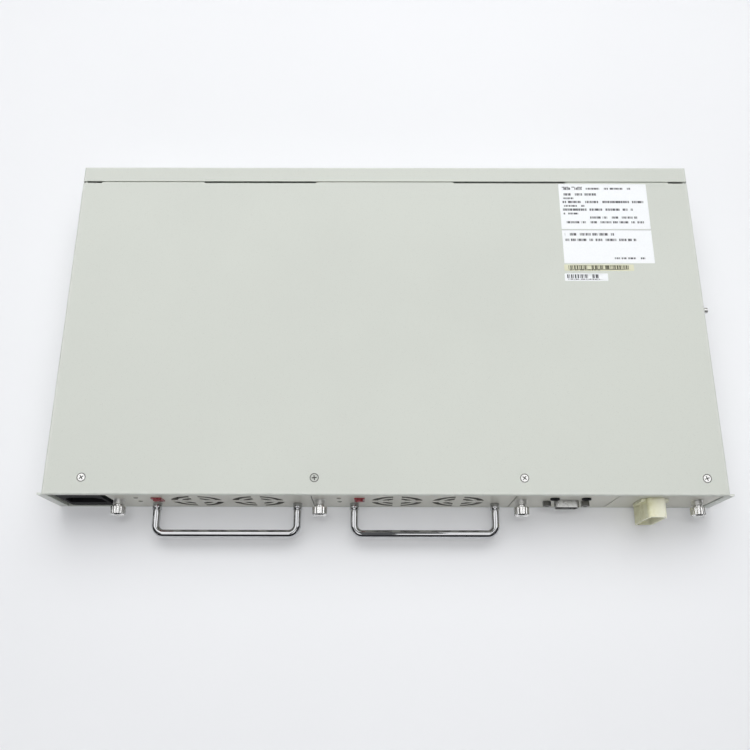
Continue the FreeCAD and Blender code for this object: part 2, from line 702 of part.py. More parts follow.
def module_tray(sides, board_front, plug_width, *rear_cutters):
    """Open-topped tray with board bosses and a rear wall cut out round the plug."""
    left, right = sides
    block = box(left, right, PANEL_BACK, TRAY_BACK, TRAY_BOTTOM, LID_UNDER)
    hollow = box(left + TRAY_SHEET, right - TRAY_SHEET, PANEL_BACK, TRAY_BACK - TRAY_SHEET,
                 TRAY_FLOOR, LID_UNDER)
    notch = plug_block((left + right) / 2, plug_width, PLUG_GAP + SOCKET_WALL / 2,
                       TRAY_BACK - TRAY_SHEET, TRAY_BACK)
    shell = cut(block, hollow, notch, *rear_cutters)
    bosses = []
    for x in (left + BOSS_INSET, right - BOSS_INSET):
        for y in (board_front + BOSS_INSET, BOARD_BACK - BOSS_INSET):
            bosses.append(rod_z(x, y, BOSS_RADIUS, TRAY_FLOOR, BOARD_UNDER))
    return fuse(shell, *bosses)


def module_board(sides, board_front):
    inset = TRAY_SHEET + BOARD_MARGIN
    return box(sides[0] + inset, sides[1] - inset, board_front, BOARD_BACK, BOARD_UNDER, BOARD_TOP)


def rear_plug(sides, width):
    """Plug that stands on the board's rear edge and reaches into the backplane socket."""
    middle = sum(sides) / 2
    root = box(middle - width / 2, middle + width / 2, BOARD_BACK - PLUG_ROOT, BOARD_BACK,
               BOARD_TOP, BOARD_TOP + PLUG_HEIGHT)
    tongue = box(middle - width / 2, middle + width / 2, BOARD_BACK, PLUG_TIP,
                 BOARD_TOP, BOARD_TOP + PLUG_HEIGHT)
    return fuse(root, tongue)


# Rectifier

def fan_xs(left):
    return [left + FAN_OFFSET + i * (FAN_SIZE + FAN_GAP) for i in range(2)]


def grille_cutter(x):
    """Two rings of arc slots, parted by four bars in a cross."""
    rings = []
    for inner, outer in GRILLE_RINGS:
        disc = rod_y(x, MID_Z, outer, FRONT, PANEL_BACK)
        rings.append(cut(disc, rod_y(x, MID_Z, inner, FRONT, PANEL_BACK)))
    reach = GRILLE_RINGS[-1][1] + GRILLE_BAR
    half = GRILLE_BAR / 2
    bars = fuse(box(x - reach, x + reach, FRONT, PANEL_BACK, MID_Z - half, MID_Z + half),
                box(x - half, x + half, FRONT, PANEL_BACK, MID_Z - reach, MID_Z + reach))
    return cut(Part.makeCompound(rings), bars)


def handle_places(left):
    return left + HANDLE_OFFSET, left + RECTIFIER_PITCH - HANDLE_INSET, TRAY_BOTTOM + HANDLE_RISE


def rectifier_panel(left):
    cutters = [grille_cutter(x) for x in fan_xs(left)]
    x1, x2, z = handle_places(left)
    for x in (x1, x2):
        cutters.append(rod_y(x, z, HANDLE_STUD + SEAT_FIT, FRONT, PANEL_BACK))
    cutters.append(switch_body_block(left, SEAT_FIT, FRONT, PANEL_BACK))
    for rise in LAMP_RISES:
        cutters.append(rod_y(left + LAMP_OFFSET, TRAY_BOTTOM + rise, LAMP_RADIUS + SEAT_FIT,
                             FRONT, PANEL_BACK))
    return module_panel(left, RECTIFIER_PITCH, left + THUMB_OFFSET, *cutters)


def handle(left):
    """Bent round bar with a collar and a stud at each end."""
    x1, x2, z = handle_places(left)
    bar = FRONT - HANDLE_REACH
    turn = bar + ROD_BEND
    near = ROD_BEND * (1 - math.sqrt(0.5))
    first = Part.LineSegment(V(x1, FRONT, z), V(x1, turn, z))
    bend_1 = Part.Arc(V(x1, turn, z), V(x1 + near, bar + near, z), V(x1 + ROD_BEND, bar, z))
    middle = Part.LineSegment(V(x1 + ROD_BEND, bar, z), V(x2 - ROD_BEND, bar, z))
    bend_2 = Part.Arc(V(x2 - ROD_BEND, bar, z), V(x2 - near, bar + near, z), V(x2, turn, z))
    last = Part.LineSegment(V(x2, turn, z), V(x2, FRONT, z))
    path = Part.Wire([curve.toShape() for curve in (first, bend_1, middle, bend_2, last)])
    section = Part.Wire([Part.makeCircle(ROD_RADIUS, V(x1, FRONT, z), V(0, 1, 0))])
    pieces = [path.makePipeShell([section], True, True)]
    for x in (x1, x2):
        pieces.append(rod_y(x, z, COLLAR_RADIUS, FRONT - COLLAR, FRONT))
        pieces.append(rod_y(x, z, HANDLE_STUD, FRONT, PANEL_BACK))
    return fuse(*pieces)


def switch_middle(left):
    return left + SWITCH_OFFSET, TRAY_BOTTOM + SWITCH_RISE


def switch_block(left, half_width, half_height, y0, y1):
    x, z = switch_middle(left)
    return box(x - half_width, x + half_width, y0, y1, z - half_height, z + half_height)


def pocket_halves():
    return ROCKER_WIDTH / 2 + RUN_GAP, ROCKER_HEIGHT / 2 + POCKET_GAP


def switch_body_block(left, margin, y0, y1):
    half_width, half_height = pocket_halves()
    grow = SWITCH_WALL + margin
    return switch_block(left, half_width + grow, half_height + grow, y0, y1)


def switch_frame(left):
    """Snap-in frame with a bezel, a pocket for the rocker and two pivot holes."""
    half_width, half_height = pocket_halves()
    bezel = switch_body_block(left, SWITCH_BEZEL_RIM, FRONT - SWITCH_BEZEL, FRONT)
    body = switch_body_block(left, 0.0, FRONT, FRONT + SWITCH_BODY_DEPTH)
    pocket = switch_block(left, half_width, half_height, FRONT - SWITCH_BEZEL, FRONT + POCKET_DEPTH)
    x, z = switch_middle(left)
    reach = ROCKER_WIDTH / 2 + RUN_GAP + PIVOT_ENGAGE
    pivot = rod_x(FRONT + ROCKER_PIVOT, z, PIVOT_RADIUS + TURN_FIT, x - reach, x + reach)
    return cut(fuse(bezel, body), pocket, pivot)


def switch_rocker(left):
    """Dished rocker on its pivot, shown tipped to one side."""
    x, z = switch_middle(left)
    half = ROCKER_HEIGHT / 2
    outline = [(FRONT - ROCKER_DISH, z), (FRONT - ROCKER_CREST, z + half), (FRONT + ROCKER_PIVOT, z + half),
               (FRONT + ROCKER_KEEL, z), (FRONT + ROCKER_PIVOT, z - half), (FRONT - ROCKER_CREST, z - half)]
    paddle = prism_x(outline, x - ROCKER_WIDTH / 2, x + ROCKER_WIDTH / 2)
    reach = ROCKER_WIDTH / 2 + PIVOT_ENGAGE
    pivot = rod_x(FRONT + ROCKER_PIVOT, z, PIVOT_RADIUS, x - reach, x + reach)
    rocker = fuse(paddle, pivot)
    rocker.rotate(V(x, FRONT + ROCKER_PIVOT, z), V(1, 0, 0), ROCKER_TILT)
    return rocker


def status_lamps(left):
    x = left + LAMP_OFFSET
    return [rod_y(x, TRAY_BOTTOM + rise, LAMP_RADIUS, FRONT - LAMP_PROUD, PANEL_BACK + LAMP_TAIL)
            for rise in LAMP_RISES]


def fan_frame(x):
    """Square frame with a round bore, and a motor base held by three struts."""
    half = FAN_SIZE / 2
    block = box(x - half, x + half, PANEL_BACK, FAN_BACK, MID_Z - half, MID_Z + half)
    ring = cut(block, rod_y(x, MID_Z, FAN_BORE, PANEL_BACK, FAN_BACK))
    pieces = [ring, rod_y(x, MID_Z, ROTOR_HUB, FAN_BACK - MOTOR_BASE, FAN_BACK)]
    for i in range(3):
        strut = box(x, x + FAN_BORE + STRUT / 4, FAN_BACK - STRUT, FAN_BACK,
                    MID_Z - STRUT / 2, MID_Z + STRUT / 2)
        strut.rotate(V(x, 0, MID_Z), V(0, 1, 0), 90.0 + 120.0 * i)
        pieces.append(strut)
    bearing = rod_y(x, MID_Z, SHAFT_RADIUS + TURN_FIT, FAN_BACK - MOTOR_BASE,
                    FAN_BACK - MOTOR_BASE - ROTOR_BACK_GAP + SHAFT_LENGTH + RUN_GAP)
    return cut(fuse(*pieces), bearing)


def fan_rotor(x):
    """Hub with five pitched blades and a shaft."""
    front = PANEL_BACK + ROTOR_FRONT_GAP
    back = FAN_BACK - MOTOR_BASE - ROTOR_BACK_GAP
    middle = (front + back) / 2
    pieces = [rod_y(x, MID_Z, ROTOR_HUB, front, back)]
    pieces.append(rod_y(x, MID_Z, SHAFT_RADIUS, back, back + SHAFT_LENGTH))
    for i in range(BLADE_COUNT):
        wing = box(x + ROTOR_HUB / 2, x + BLADE_TIP, middle - FAN_CHORD / 2, middle + FAN_CHORD / 2,
                   MID_Z - FAN_BLADE / 2, MID_Z + FAN_BLADE / 2)
        wing.rotate(V(x, middle, MID_Z), V(1, 0, 0), FAN_PITCH_ANGLE)
        wing.rotate(V(x, middle, MID_Z), V(0, 1, 0), 360.0 * i / BLADE_COUNT)
        pieces.append(wing)
    return fuse(*pieces)


def rectifier_tray(left):
    sides = rectifier_tray_sides(left)
    windows = air_windows(sides, TRAY_BACK - TRAY_SHEET, TRAY_BACK, LID_UNDER)
    return module_tray(sides, BOARD_FRONT, RECTIFIER_PLUG, *windows)


def rectifier_lid(left):
    sides = rectifier_tray_sides(left)
    return box(*sides, PANEL_BACK, TRAY_BACK, LID_UNDER, LID_TOP)


def heatsink(left):
    """Finned extrusion along the module's left side."""
    x0 = rectifier_tray_sides(left)[0] + TRAY_SHEET + BOARD_MARGIN
    y0 = BOARD_FRONT + BOSS_INSET
    base = box(x0, x0 + HEATSINK_WIDTH, y0, y0 + HEATSINK_LENGTH, BOARD_TOP, BOARD_TOP + HEATSINK_BASE)
    gap = (HEATSINK_WIDTH - FIN) / (HEATSINK_FINS - 1)
    fins = []
    for i in range(HEATSINK_FINS):
        x = x0 + i * gap
        fins.append(box(x, x + FIN, y0, y0 + HEATSINK_LENGTH, BOARD_TOP, BOARD_TOP + HEATSINK_HEIGHT))
    return fuse(base, *fins)


def transformer(x, y):
    """Ferrite core round a winding, both standing on the board."""
    blocks = []
    for width, length, height in (CORE_SIZE, WINDING_SIZE):
        blocks.append(box(x - width / 2, x + width / 2, y - length / 2, y + length / 2,
                          BOARD_TOP, BOARD_TOP + height))
    return fuse(*blocks)


def transformers(left):
    x = rectifier_tray_sides(left)[0] + TRANSFORMER_OFFSET
    return [transformer(x, BOARD_FRONT + setback) for setback in TRANSFORMER_SETBACKS]


def capacitors(left):
    x0 = rectifier_tray_sides(left)[0] + CAN_OFFSET
    y = BOARD_FRONT + CAN_SETBACK
    xs = [x0 + i * CAN_PITCH for i in range(CAN_COUNT)]
    return [rod_z(x, y, CAN_RADIUS, BOARD_TOP, BOARD_TOP + CAN_HEIGHT) for x in xs]


def save_rectifier(number, left):
    name = f"rectifier_{number}"
    sides = rectifier_tray_sides(left)
    save(f"{name}_front_panel", rectifier_panel(left))
    save(f"{name}_tray", rectifier_tray(left))
    save(f"{name}_lid", rectifier_lid(left))
    save(f"{name}_handle", handle(left))
    save(f"{name}_switch_frame", switch_frame(left))
    save(f"{name}_switch_rocker", switch_rocker(left))
    save(f"{name}_status_lamps", *status_lamps(left))
    save(f"{name}_thumbscrew", thumbscrew(left + THUMB_OFFSET))
    save(f"{name}_fan_frames", *[fan_frame(x) for x in fan_xs(left)])
    for letter, x in zip("ab", fan_xs(left)):
        save(f"{name}_fan_{letter}_rotor", fan_rotor(x))
    save(f"{name}_board", module_board(sides, BOARD_FRONT))
    save(f"{name}_heatsink", heatsink(left))
    save(f"{name}_transformers", *transformers(left))
    save(f"{name}_capacitors", *capacitors(left))
    save(f"{name}_rear_plug", rear_plug(sides, RECTIFIER_PLUG))


# Monitor module

SERIAL_X = MONITOR_LEFT + SERIAL_OFFSET


def serial_outline(grow):
    """Solid prism of the D-shaped shell's outline, grown by a margin, with rounded corners."""
    half = SHELL_WIDTH / 2 + grow
    tall = SHELL_HEIGHT / 2 + grow
    slant = 2 * tall * math.tan(math.radians(SHELL_SLANT))
    outline = [(SERIAL_X - half, SERIAL_Z + tall), (SERIAL_X + half, SERIAL_Z + tall),
               (SERIAL_X + half - slant, SERIAL_Z - tall), (SERIAL_X - half + slant, SERIAL_Z - tall)]
    prism = prism_y(outline, FRONT - SHELL_PROUD, PANEL_BACK)
    return round_edges(prism, SHELL_CORNER + grow, lambda edge: along(edge, 1))


def serial_shell():
    flange = box(SERIAL_X - SHELL_FLANGE_WIDTH / 2, SERIAL_X + SHELL_FLANGE_WIDTH / 2,
                 PANEL_BACK, PANEL_BACK + SHELL_FLANGE,
                 SERIAL_Z - SHELL_FLANGE_HEIGHT / 2, SERIAL_Z + SHELL_FLANGE_HEIGHT / 2)
    core = serial_outline(-SHELL_WALL)
    window = core.copy()
    window.translate(V(0, SHELL_FLANGE, 0))
    holes = [rod_y(x, SERIAL_Z, JACK_STUD + SEAT_FIT, PANEL_BACK, PANEL_BACK + SHELL_FLANGE) for x in jack_xs()]
    return cut(fuse(serial_outline(0.0), flange), core, window, *holes)


def jack_xs():
    return SERIAL_X - JACK_SPACING / 2, SERIAL_X + JACK_SPACING / 2


def serial_insert():
    """Insulator in the shell with two rows of contact holes, on a block that stands on the board."""
    face = serial_outline(-SHELL_WALL - SEAT_FIT)
    back = PANEL_BACK + SHELL_FLANGE
    front = box(SERIAL_X - SHELL_WIDTH, SERIAL_X + SHELL_WIDTH, FRONT - SHELL_PROUD,
                FRONT - SHELL_PROUD + INSERT_RECESS, SERIAL_Z - SHELL_HEIGHT, SERIAL_Z + SHELL_HEIGHT)
    neck = face.copy()
    neck.translate(V(0, SHELL_FLANGE, 0))
    half = INSERT_WIDTH / 2
    block = box(SERIAL_X - half, SERIAL_X + half, back, back + INSERT_DEPTH,
                BOARD_TOP, SERIAL_Z + SHELL_HEIGHT / 2)
    holes = []
    for row, count in ((1, 5), (-1, 4)):
        for i in range(count):
            x = SERIAL_X + (i - (count - 1) / 2) * CONTACT_PITCH
            holes.append(rod_y(x, SERIAL_Z + row * CONTACT_ROW / 2, CONTACT_HOLE, FRONT - SHELL_PROUD,
                               FRONT - SHELL_PROUD + INSERT_RECESS + CONTACT_DEPTH))
    return cut(fuse(face, neck, block), front, *holes)


def serial_jackscrew(x):
    """Hexagonal standoff with a tapped end and a stud through the panel and the shell's flange."""
    corners = polygon(6, JACK_FLATS / math.sqrt(3), 90.0)
    hexagon = prism_y([(x + a, SERIAL_Z + b) for a, b in corners], FRONT - JACK_LENGTH, FRONT)
    stud = rod_y(x, SERIAL_Z, JACK_STUD, FRONT, PANEL_BACK + JACK_TAIL)
    bore = rod_y(x, SERIAL_Z, JACK_BORE, FRONT - JACK_LENGTH, FRONT)
    return cut(fuse(hexagon, stud), bore)


def lamp_bezel(x):
    """Round lamp holder, dished at its face."""
    z = TRAY_BOTTOM + BEZEL_RISE
    rim = rod_y(x, z, BEZEL_RADIUS, FRONT - BEZEL_PROUD, FRONT)
    body = rod_y(x, z, BEZEL_BODY_RADIUS, FRONT, PANEL_BACK + BEZEL_TAIL)
    dish = rod_y(x, z, BEZEL_DISH, FRONT - BEZEL_PROUD, FRONT)
    return cut(fuse(rim, body), dish)


def monitor_panel():
    cutters = [serial_outline(SEAT_FIT)]
    for x in jack_xs():
        cutters.append(rod_y(x, SERIAL_Z, JACK_STUD + SEAT_FIT, FRONT, PANEL_BACK))
    for offset in BEZEL_OFFSETS:
        cutters.append(rod_y(MONITOR_LEFT + offset, TRAY_BOTTOM + BEZEL_RISE, BEZEL_BODY_RADIUS + SEAT_FIT,
                             FRONT, PANEL_BACK))
    return module_panel(MONITOR_LEFT, HALF_PITCH, MONITOR_LEFT + THUMB_OFFSET, *cutters)


def save_monitor():
    sides = monitor_tray_sides()
    save("monitor_front_panel", monitor_panel())
    save("monitor_tray", module_tray(sides, MONITOR_BOARD_FRONT, HALF_PLUG))
    save("monitor_board", module_board(sides, MONITOR_BOARD_FRONT))
    save("monitor_rear_plug", rear_plug(sides, HALF_PLUG))
    save("monitor_thumbscrew", thumbscrew(MONITOR_LEFT + THUMB_OFFSET))
    save("monitor_serial_shell", serial_shell())
    save("monitor_serial_insert", serial_insert())
    save("monitor_serial_jackscrews", *[serial_jackscrew(x) for x in jack_xs()])
    save("monitor_lamp_bezels", *[lamp_bezel(MONITOR_LEFT + offset) for offset in BEZEL_OFFSETS])


# Output module

OUTPUT_X = OUTPUT_LEFT + OUTPUT_OFFSET
HOUSING_FRONT = FRONT - HOUSING_PROUD
HOUSING_LOW = TRAY_BOTTOM + HOUSING_RISE


def housing_block(margin, y0, y1):
    half = HOUSING_WIDTH / 2 + margin
    top = HOUSING_LOW + HOUSING_HEIGHT + margin
    return box(OUTPUT_X - half, OUTPUT_X + half, y0, y1, HOUSING_LOW - margin, top)


def pin_zs():
    middle = HOUSING_LOW + HOUSING_HEIGHT / 2
    return [middle + (i - (OUTPUT_PINS - 1) / 2) * PIN_PITCH for i in range(OUTPUT_PINS)]


def output_housing():
    """Tall nylon shroud, open at the front, with an ear on each side that rests on the panel."""
    block = housing_block(0.0, HOUSING_FRONT, PANEL_BACK + HOUSING_TAIL)
    block = round_edges(block, HOUSING_CORNER, lambda edge: along(edge, 1))
    mouth = housing_block(-HOUSING_WALL, HOUSING_FRONT, HOUSING_FRONT + SHROUD_DEPTH)
    mouth = round_edges(mouth, HOUSING_CORNER - HOUSING_WALL, lambda edge: along(edge, 1))
    reach = HOUSING_WIDTH / 2 + HOUSING_EAR
    middle = HOUSING_LOW + HOUSING_HEIGHT / 2 + HOUSING_EAR_LIFT
    ears = box(OUTPUT_X - reach, OUTPUT_X + reach, FRONT - HOUSING_EAR_DEPTH, FRONT,
               middle - HOUSING_EAR_HEIGHT / 2, middle + HOUSING_EAR_HEIGHT / 2)
    ears = round_edges(ears, HOUSING_EAR / 2, lambda edge: along(edge, 1))
    block = fuse(block, ears)
    tail = PANEL_BACK + HOUSING_TAIL
    holes = [rod_y(OUTPUT_X, z, PIN_RADIUS + SEAT_FIT, HOUSING_FRONT, tail) for z in pin_zs()]
    return cut(block, mouth, *holes)


def output_pins():
    return [rod_y(OUTPUT_X, z, PIN_RADIUS, HOUSING_FRONT + PIN_SETBACK, PANEL_BACK + HOUSING_TAIL + PIN_TAIL)
            for z in pin_zs()]


def save_output():
    sides = output_tray_sides()
    screw_x = BAY_RIGHT - OUTPUT_THUMB_INSET
    window = housing_block(SEAT_FIT, FRONT, PANEL_BACK)
    window = round_edges(window, HOUSING_CORNER + SEAT_FIT, lambda edge: along(edge, 1))
    save("output_front_panel", module_panel(OUTPUT_LEFT, HALF_PITCH, screw_x, window))
    save("output_tray", module_tray(sides, OUTPUT_BOARD_FRONT, HALF_PLUG))
    save("output_board", module_board(sides, OUTPUT_BOARD_FRONT))
    save("output_rear_plug", rear_plug(sides, HALF_PLUG))
    save("output_thumbscrew", thumbscrew(screw_x))
    save("output_housing", output_housing())
    save("output_pins", *output_pins())


def save_chassis():
    save("chassis_tray", chassis_tray())
    save("top_cover", top_cover())
    save("cover_screws", *[cover_screw(*place) for place in zip(COVER_SCREW_XS, CROSS_TURNS)])
    save("front_rail", front_rail())
    save("guide_channels", *guide_channels())
    save("ground_terminal", *ground_terminal())
    save("ac_bay_plate", ac_bay_plate())
    save("ac_inlet_housing", ac_inlet_housing())
    save("ac_inlet_blades", *ac_inlet_blades())
    save("ac_leads", *ac_leads())
    save("backplane_board", backplane_board())
    save("backplane_sockets", *backplane_sockets())


os.makedirs("parts", exist_ok=True)
save_chassis()
for index, bay_left in enumerate(RECTIFIER_LEFTS):
    save_rectifier(index + 1, bay_left)
save_monitor()
save_output()
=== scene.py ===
# %% [markdown]
# # Dressing a rack-width dc power supply
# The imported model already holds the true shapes: a grey sheet metal case, two rectifiers with chromed
# handles, a monitor module and an output module, all of which slide out. This lesson gives each piece its
# real finish, adds the small things that sheet metal drawings leave out, and sets up the studio.

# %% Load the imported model
import json

import bmesh
import bpy
import numpy as np
from mathutils import Matrix, Vector


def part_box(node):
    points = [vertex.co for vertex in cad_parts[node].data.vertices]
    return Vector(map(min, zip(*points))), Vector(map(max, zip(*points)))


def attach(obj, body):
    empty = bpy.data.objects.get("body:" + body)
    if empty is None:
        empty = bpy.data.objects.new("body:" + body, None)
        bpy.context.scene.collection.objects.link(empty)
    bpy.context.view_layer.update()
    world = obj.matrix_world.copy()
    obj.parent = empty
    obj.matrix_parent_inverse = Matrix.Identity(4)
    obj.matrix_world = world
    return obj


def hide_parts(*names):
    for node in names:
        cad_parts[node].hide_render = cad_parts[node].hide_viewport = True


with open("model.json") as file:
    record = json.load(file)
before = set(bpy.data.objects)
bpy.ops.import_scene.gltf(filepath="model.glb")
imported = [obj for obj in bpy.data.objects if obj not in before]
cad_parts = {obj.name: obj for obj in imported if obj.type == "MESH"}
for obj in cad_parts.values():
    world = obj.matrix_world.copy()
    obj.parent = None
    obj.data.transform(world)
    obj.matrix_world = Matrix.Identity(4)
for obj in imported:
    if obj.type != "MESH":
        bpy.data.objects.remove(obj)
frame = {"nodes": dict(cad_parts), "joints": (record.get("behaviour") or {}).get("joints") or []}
nodes = frame["nodes"]
joint_places = {joint["name"]: joint.get("pos_m") for joint in frame["joints"]}
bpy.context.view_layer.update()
scene = bpy.context.scene
MM = 0.001
RECTIFIERS = ("rectifier_1", "rectifier_2")
MODULES = (*RECTIFIERS, "monitor", "output")


def put(name, data):
    """A new object for a mesh, a lamp or a camera, linked into the scene."""
    thing = bpy.data.objects.new(name, data)
    scene.collection.objects.link(thing)
    return thing


# %% [markdown]
# ## The camera
# The picture is taken from above and a little in front, so the top fills the frame and the front panels are
# a thin band. A camera can be aimed by hand, but eight corners of the case fix it exactly: the place, the
# tilt and the focal length below come from such a fit, with one pixel as the unit of the focal length.

# %% Camera
PICTURE_PIXELS = 750
FOCAL_PIXELS = 819.65
SENSOR = 36.0
NEAREST = 0.01
CAMERA_PLACE = np.array([-5.41, -217.84, 557.49]) * MM
TILT = 0.33346
TURN = -0.00727
ROLL = -0.00501


def spin(angle):
    """Rotation about the third axis: x' = x cos - y sin, y' = x sin + y cos."""
    c = np.cos(angle)
    s = np.sin(angle)
    return np.array([[c, -s, 0], [s, c, 0], [0, 0, 1]])


def camera_axes(tilt, turn, roll):
    """Rows are the picture's right, down and forward directions in the model's frame."""
    c = np.cos(tilt)
    s = np.sin(tilt)
    level = np.array([[1, 0, 0], [0, -c, -s], [0, s, -c]])
    return spin(roll) @ level @ spin(turn)


right, down, forward = camera_axes(TILT, TURN, ROLL)
pose = np.eye(4)
pose[:3, :3] = np.stack([right, -down, -forward], axis=1)
pose[:3, 3] = CAMERA_PLACE
lens = bpy.data.cameras.new("camera")
lens.sensor_width = SENSOR
lens.lens = FOCAL_PIXELS * SENSOR / PICTURE_PIXELS
lens.clip_start = NEAREST
scene.camera = put("camera", lens)
scene.camera.matrix_world = Matrix(pose.tolist())
scene.view_settings.view_transform = "Standard"
print("lens", round(lens.lens, 2), "mm")

# %% [markdown]
# ## Finishes as node trees
# Every finish here is worked out by nodes from the place on the piece, so it needs no picture and no
# unwrapping. Writing node trees by hand is long, so a small class adds a node and joins its sockets in one
# call. A second class is a material with the patterns that most finishes need. A plain number that is the
# same all over goes straight on the shader; only what varies is linked.

# %% A class that builds node trees


class Nodes:
    """A node tree, with one call to add a node and join its sockets."""

    def __init__(self, tree):
        self.tree = tree

    def join(self, socket, value):
        if isinstance(value, bpy.types.NodeSocket):
            self.tree.links.new(value, socket)
        else:
            socket.default_value = value

    def add(self, kind, settings=None, **inputs):
        node = self.tree.nodes.new(kind)
        for key, value in (settings or {}).items():
            setattr(node, key, value)
        for key, value in inputs.items():
            self.join(node.inputs[key.replace("_", " ")], value)
        return node

    def calc(self, operation, *values):
        node = self.add("ShaderNodeMath", {"operation": operation})
        for socket, value in zip(node.inputs, values):
            self.join(socket, value)
        return node.outputs["Value"]

    def times(self, first, second):
        return self.calc("MULTIPLY", first, second)

    def most(self, first, *others):
        """The greatest of two or more values."""
        for other in others:
            first = self.calc("MAXIMUM", first, other)
        return first

    def fade(self, value, start, end, low=0.0, high=1.0):
        """Rises smoothly from low to high while the value goes from start to end."""
        node = self.add("ShaderNodeMapRange", {"interpolation_type": "SMOOTHSTEP"}, Value=value,
                        From_Min=start, From_Max=end, To_Min=low, To_Max=high)
        return node.outputs["Result"]

    def looked_at(self):
        """One for a ray from the camera, off a mirror or through glass, nought for one that gathers light."""
        rays = self.add("ShaderNodeLightPath").outputs
        return self.most(rays["Is Camera Ray"], rays["Is Glossy Ray"], rays["Is Transmission Ray"])


print("node class ready")

# %% A class that builds finishes


class Finish(Nodes):
    """A material whose colour, roughness and relief are worked out from the place on the piece, in metres."""

    def __init__(self, name, **fixed):
        self.material = bpy.data.materials.new(name)
        self.material.use_nodes = True
        super().__init__(self.material.node_tree)
        self.shader = self.tree.nodes["Principled BSDF"]
        self.place = self.add("ShaderNodeTexCoord").outputs["Object"]
        self.x, self.y, self.z = self.add("ShaderNodeSeparateXYZ", Vector=self.place).outputs
        for socket, value in fixed.items():
            self.shader.inputs[socket.replace("_", " ")].default_value = value

    def noise(self, scale, detail=2.0):
        """Cloudy pattern, so many to the metre. Three numbers stretch it along the axis with the smallest."""
        place = self.place
        if isinstance(scale, tuple):
            place = self.add("ShaderNodeMapping", Vector=place, Scale=scale).outputs["Vector"]
            scale = 1.0
        return self.add("ShaderNodeTexNoise", Vector=place, Scale=scale, Detail=detail).outputs["Fac"]

    def cells(self, scale, output):
        return self.add("ShaderNodeTexVoronoi", Vector=self.place, Scale=scale).outputs[output]

    def band(self, value, low, high, soft):
        """One between low and high, nought outside, with soft edges."""
        rise = self.fade(value, low - soft, low + soft)
        fall = self.fade(value, high - soft, high + soft)
        return self.calc("SUBTRACT", rise, fall)

    def blend(self, share, first, second):
        node = self.add("ShaderNodeMix", {"data_type": "RGBA"})
        self.join(node.inputs[0], share)
        for socket, colour in zip((node.inputs[6], node.inputs[7]), (first, second)):
            self.join(socket, colour if isinstance(colour, bpy.types.NodeSocket) else (*colour, 1.0))
        return node.outputs[2]

    def tint(self, pattern, dark, light):
        """Dark where a noise is low, light where it is high."""
        return self.blend(self.fade(pattern, 0.3, 0.7), dark, light)

    def gloss(self, pattern, low, high):
        """Roughness that follows a noise."""
        return self.fade(pattern, 0.2, 0.8, low, high)

    def relief(self, height, strength, depth, under=None):
        """Surface tilt from a height pattern; depth is its height in millimetres."""
        node = self.add("ShaderNodeBump", Height=height, Strength=strength, Distance=depth * MM)
        if under is not None:
            self.join(node.inputs["Normal"], under)
        return node.outputs["Normal"]

    def done(self, colour, roughness=None, normal=None):
        """Joins what varies to the shader and gives the material back."""
        for socket, value in (("Base Color", colour), ("Roughness", roughness), ("Normal", normal)):
            if value is not None:
                self.join(self.shader.inputs[socket], value)
        return self.material


def simple_finish(name, grain, dark, light, rough, bump=None, **fixed):
    """One noise (scale, detail) varies colour and roughness; bump is a noise with its strength and depth."""
    finish = Finish(name, **fixed)
    pattern = finish.noise(*grain)
    normal = None
    if bump is not None:
        scale, detail, strength, depth = bump
        normal = finish.relief(finish.noise(scale, detail), strength, depth)
    return finish.done(finish.tint(pattern, dark, light), finish.gloss(pattern, *rough), normal)


print("finish class ready")

# %% [markdown]
# ## The studio
# A pale sheet lies under the unit and runs out of sight. A small soft box straight above the front drops
# each handle's shadow just below it, a larger one behind lights the top more towards its back and leaves
# the fronts in shade, and a low fill and a wide bounce lift what is left. The room itself is dark: without
# something dark to mirror, chrome turns to white plastic. White cards hang to the left, to the right and in
# front with a gap for the camera, and only these are left in the mirrors. The sheet shows itself a shade
# paler than the light makes it, as a page does when it is exposed for, and still takes the shadows. Far off
# it fades into a pale haze at the horizon, so there is no edge. Black flags half a metre high stand round
# the unit, seen only in mirrors, and give the chrome its dark outlines.

# %% Floor
FLOOR_HALF = 6.0
FLOOR_COLOUR = (0.86, 0.87, 0.89)
FLOOR_GLOW = (0.93, 0.94, 0.97, 1.0)
FLOOR_GLOW_SHARE = 0.12
FLOOR_FADE = (0.6, 1.7)


def flat_sheet(name, corners, finish):
    """One flat four-cornered face that belongs to the studio."""
    mesh = bpy.data.meshes.new(name)
    mesh.from_pydata(corners, [], [(0, 1, 2, 3)])
    mesh.materials.append(finish)
    sheet = put(name, mesh)
    return sheet


def paper_floor():
    paper = Finish("pale_floor_paper", Specular_IOR_Level=0.25)
    cloud = paper.noise(3.0, 3.0)
    colour = paper.tint(cloud, [0.98 * c for c in FLOOR_COLOUR], FLOOR_COLOUR)
    paper.done(colour, paper.gloss(cloud, 0.62, 0.74))
    away = paper.add("ShaderNodeVectorMath", {"operation": "LENGTH"}, Vector=paper.place).outputs["Value"]
    share = paper.fade(away, *FLOOR_FADE, FLOOR_GLOW_SHARE, 1.0)
    mix = paper.add("ShaderNodeMixShader", Fac=paper.times(paper.looked_at(), share))
    paper.join(mix.inputs[1], paper.shader.outputs["BSDF"])
    paper.join(mix.inputs[2], paper.add("ShaderNodeEmission", Color=FLOOR_GLOW).outputs["Emission"])
    paper.join(paper.tree.nodes["Material Output"].inputs["Surface"], mix.outputs["Shader"])
    return paper.material


edge = FLOOR_HALF
flat_sheet("floor", [(-edge, -edge, 0), (edge, -edge, 0), (edge, edge, 0), (-edge, edge, 0)], paper_floor())
print("floor", 2 * FLOOR_HALF, "m across")

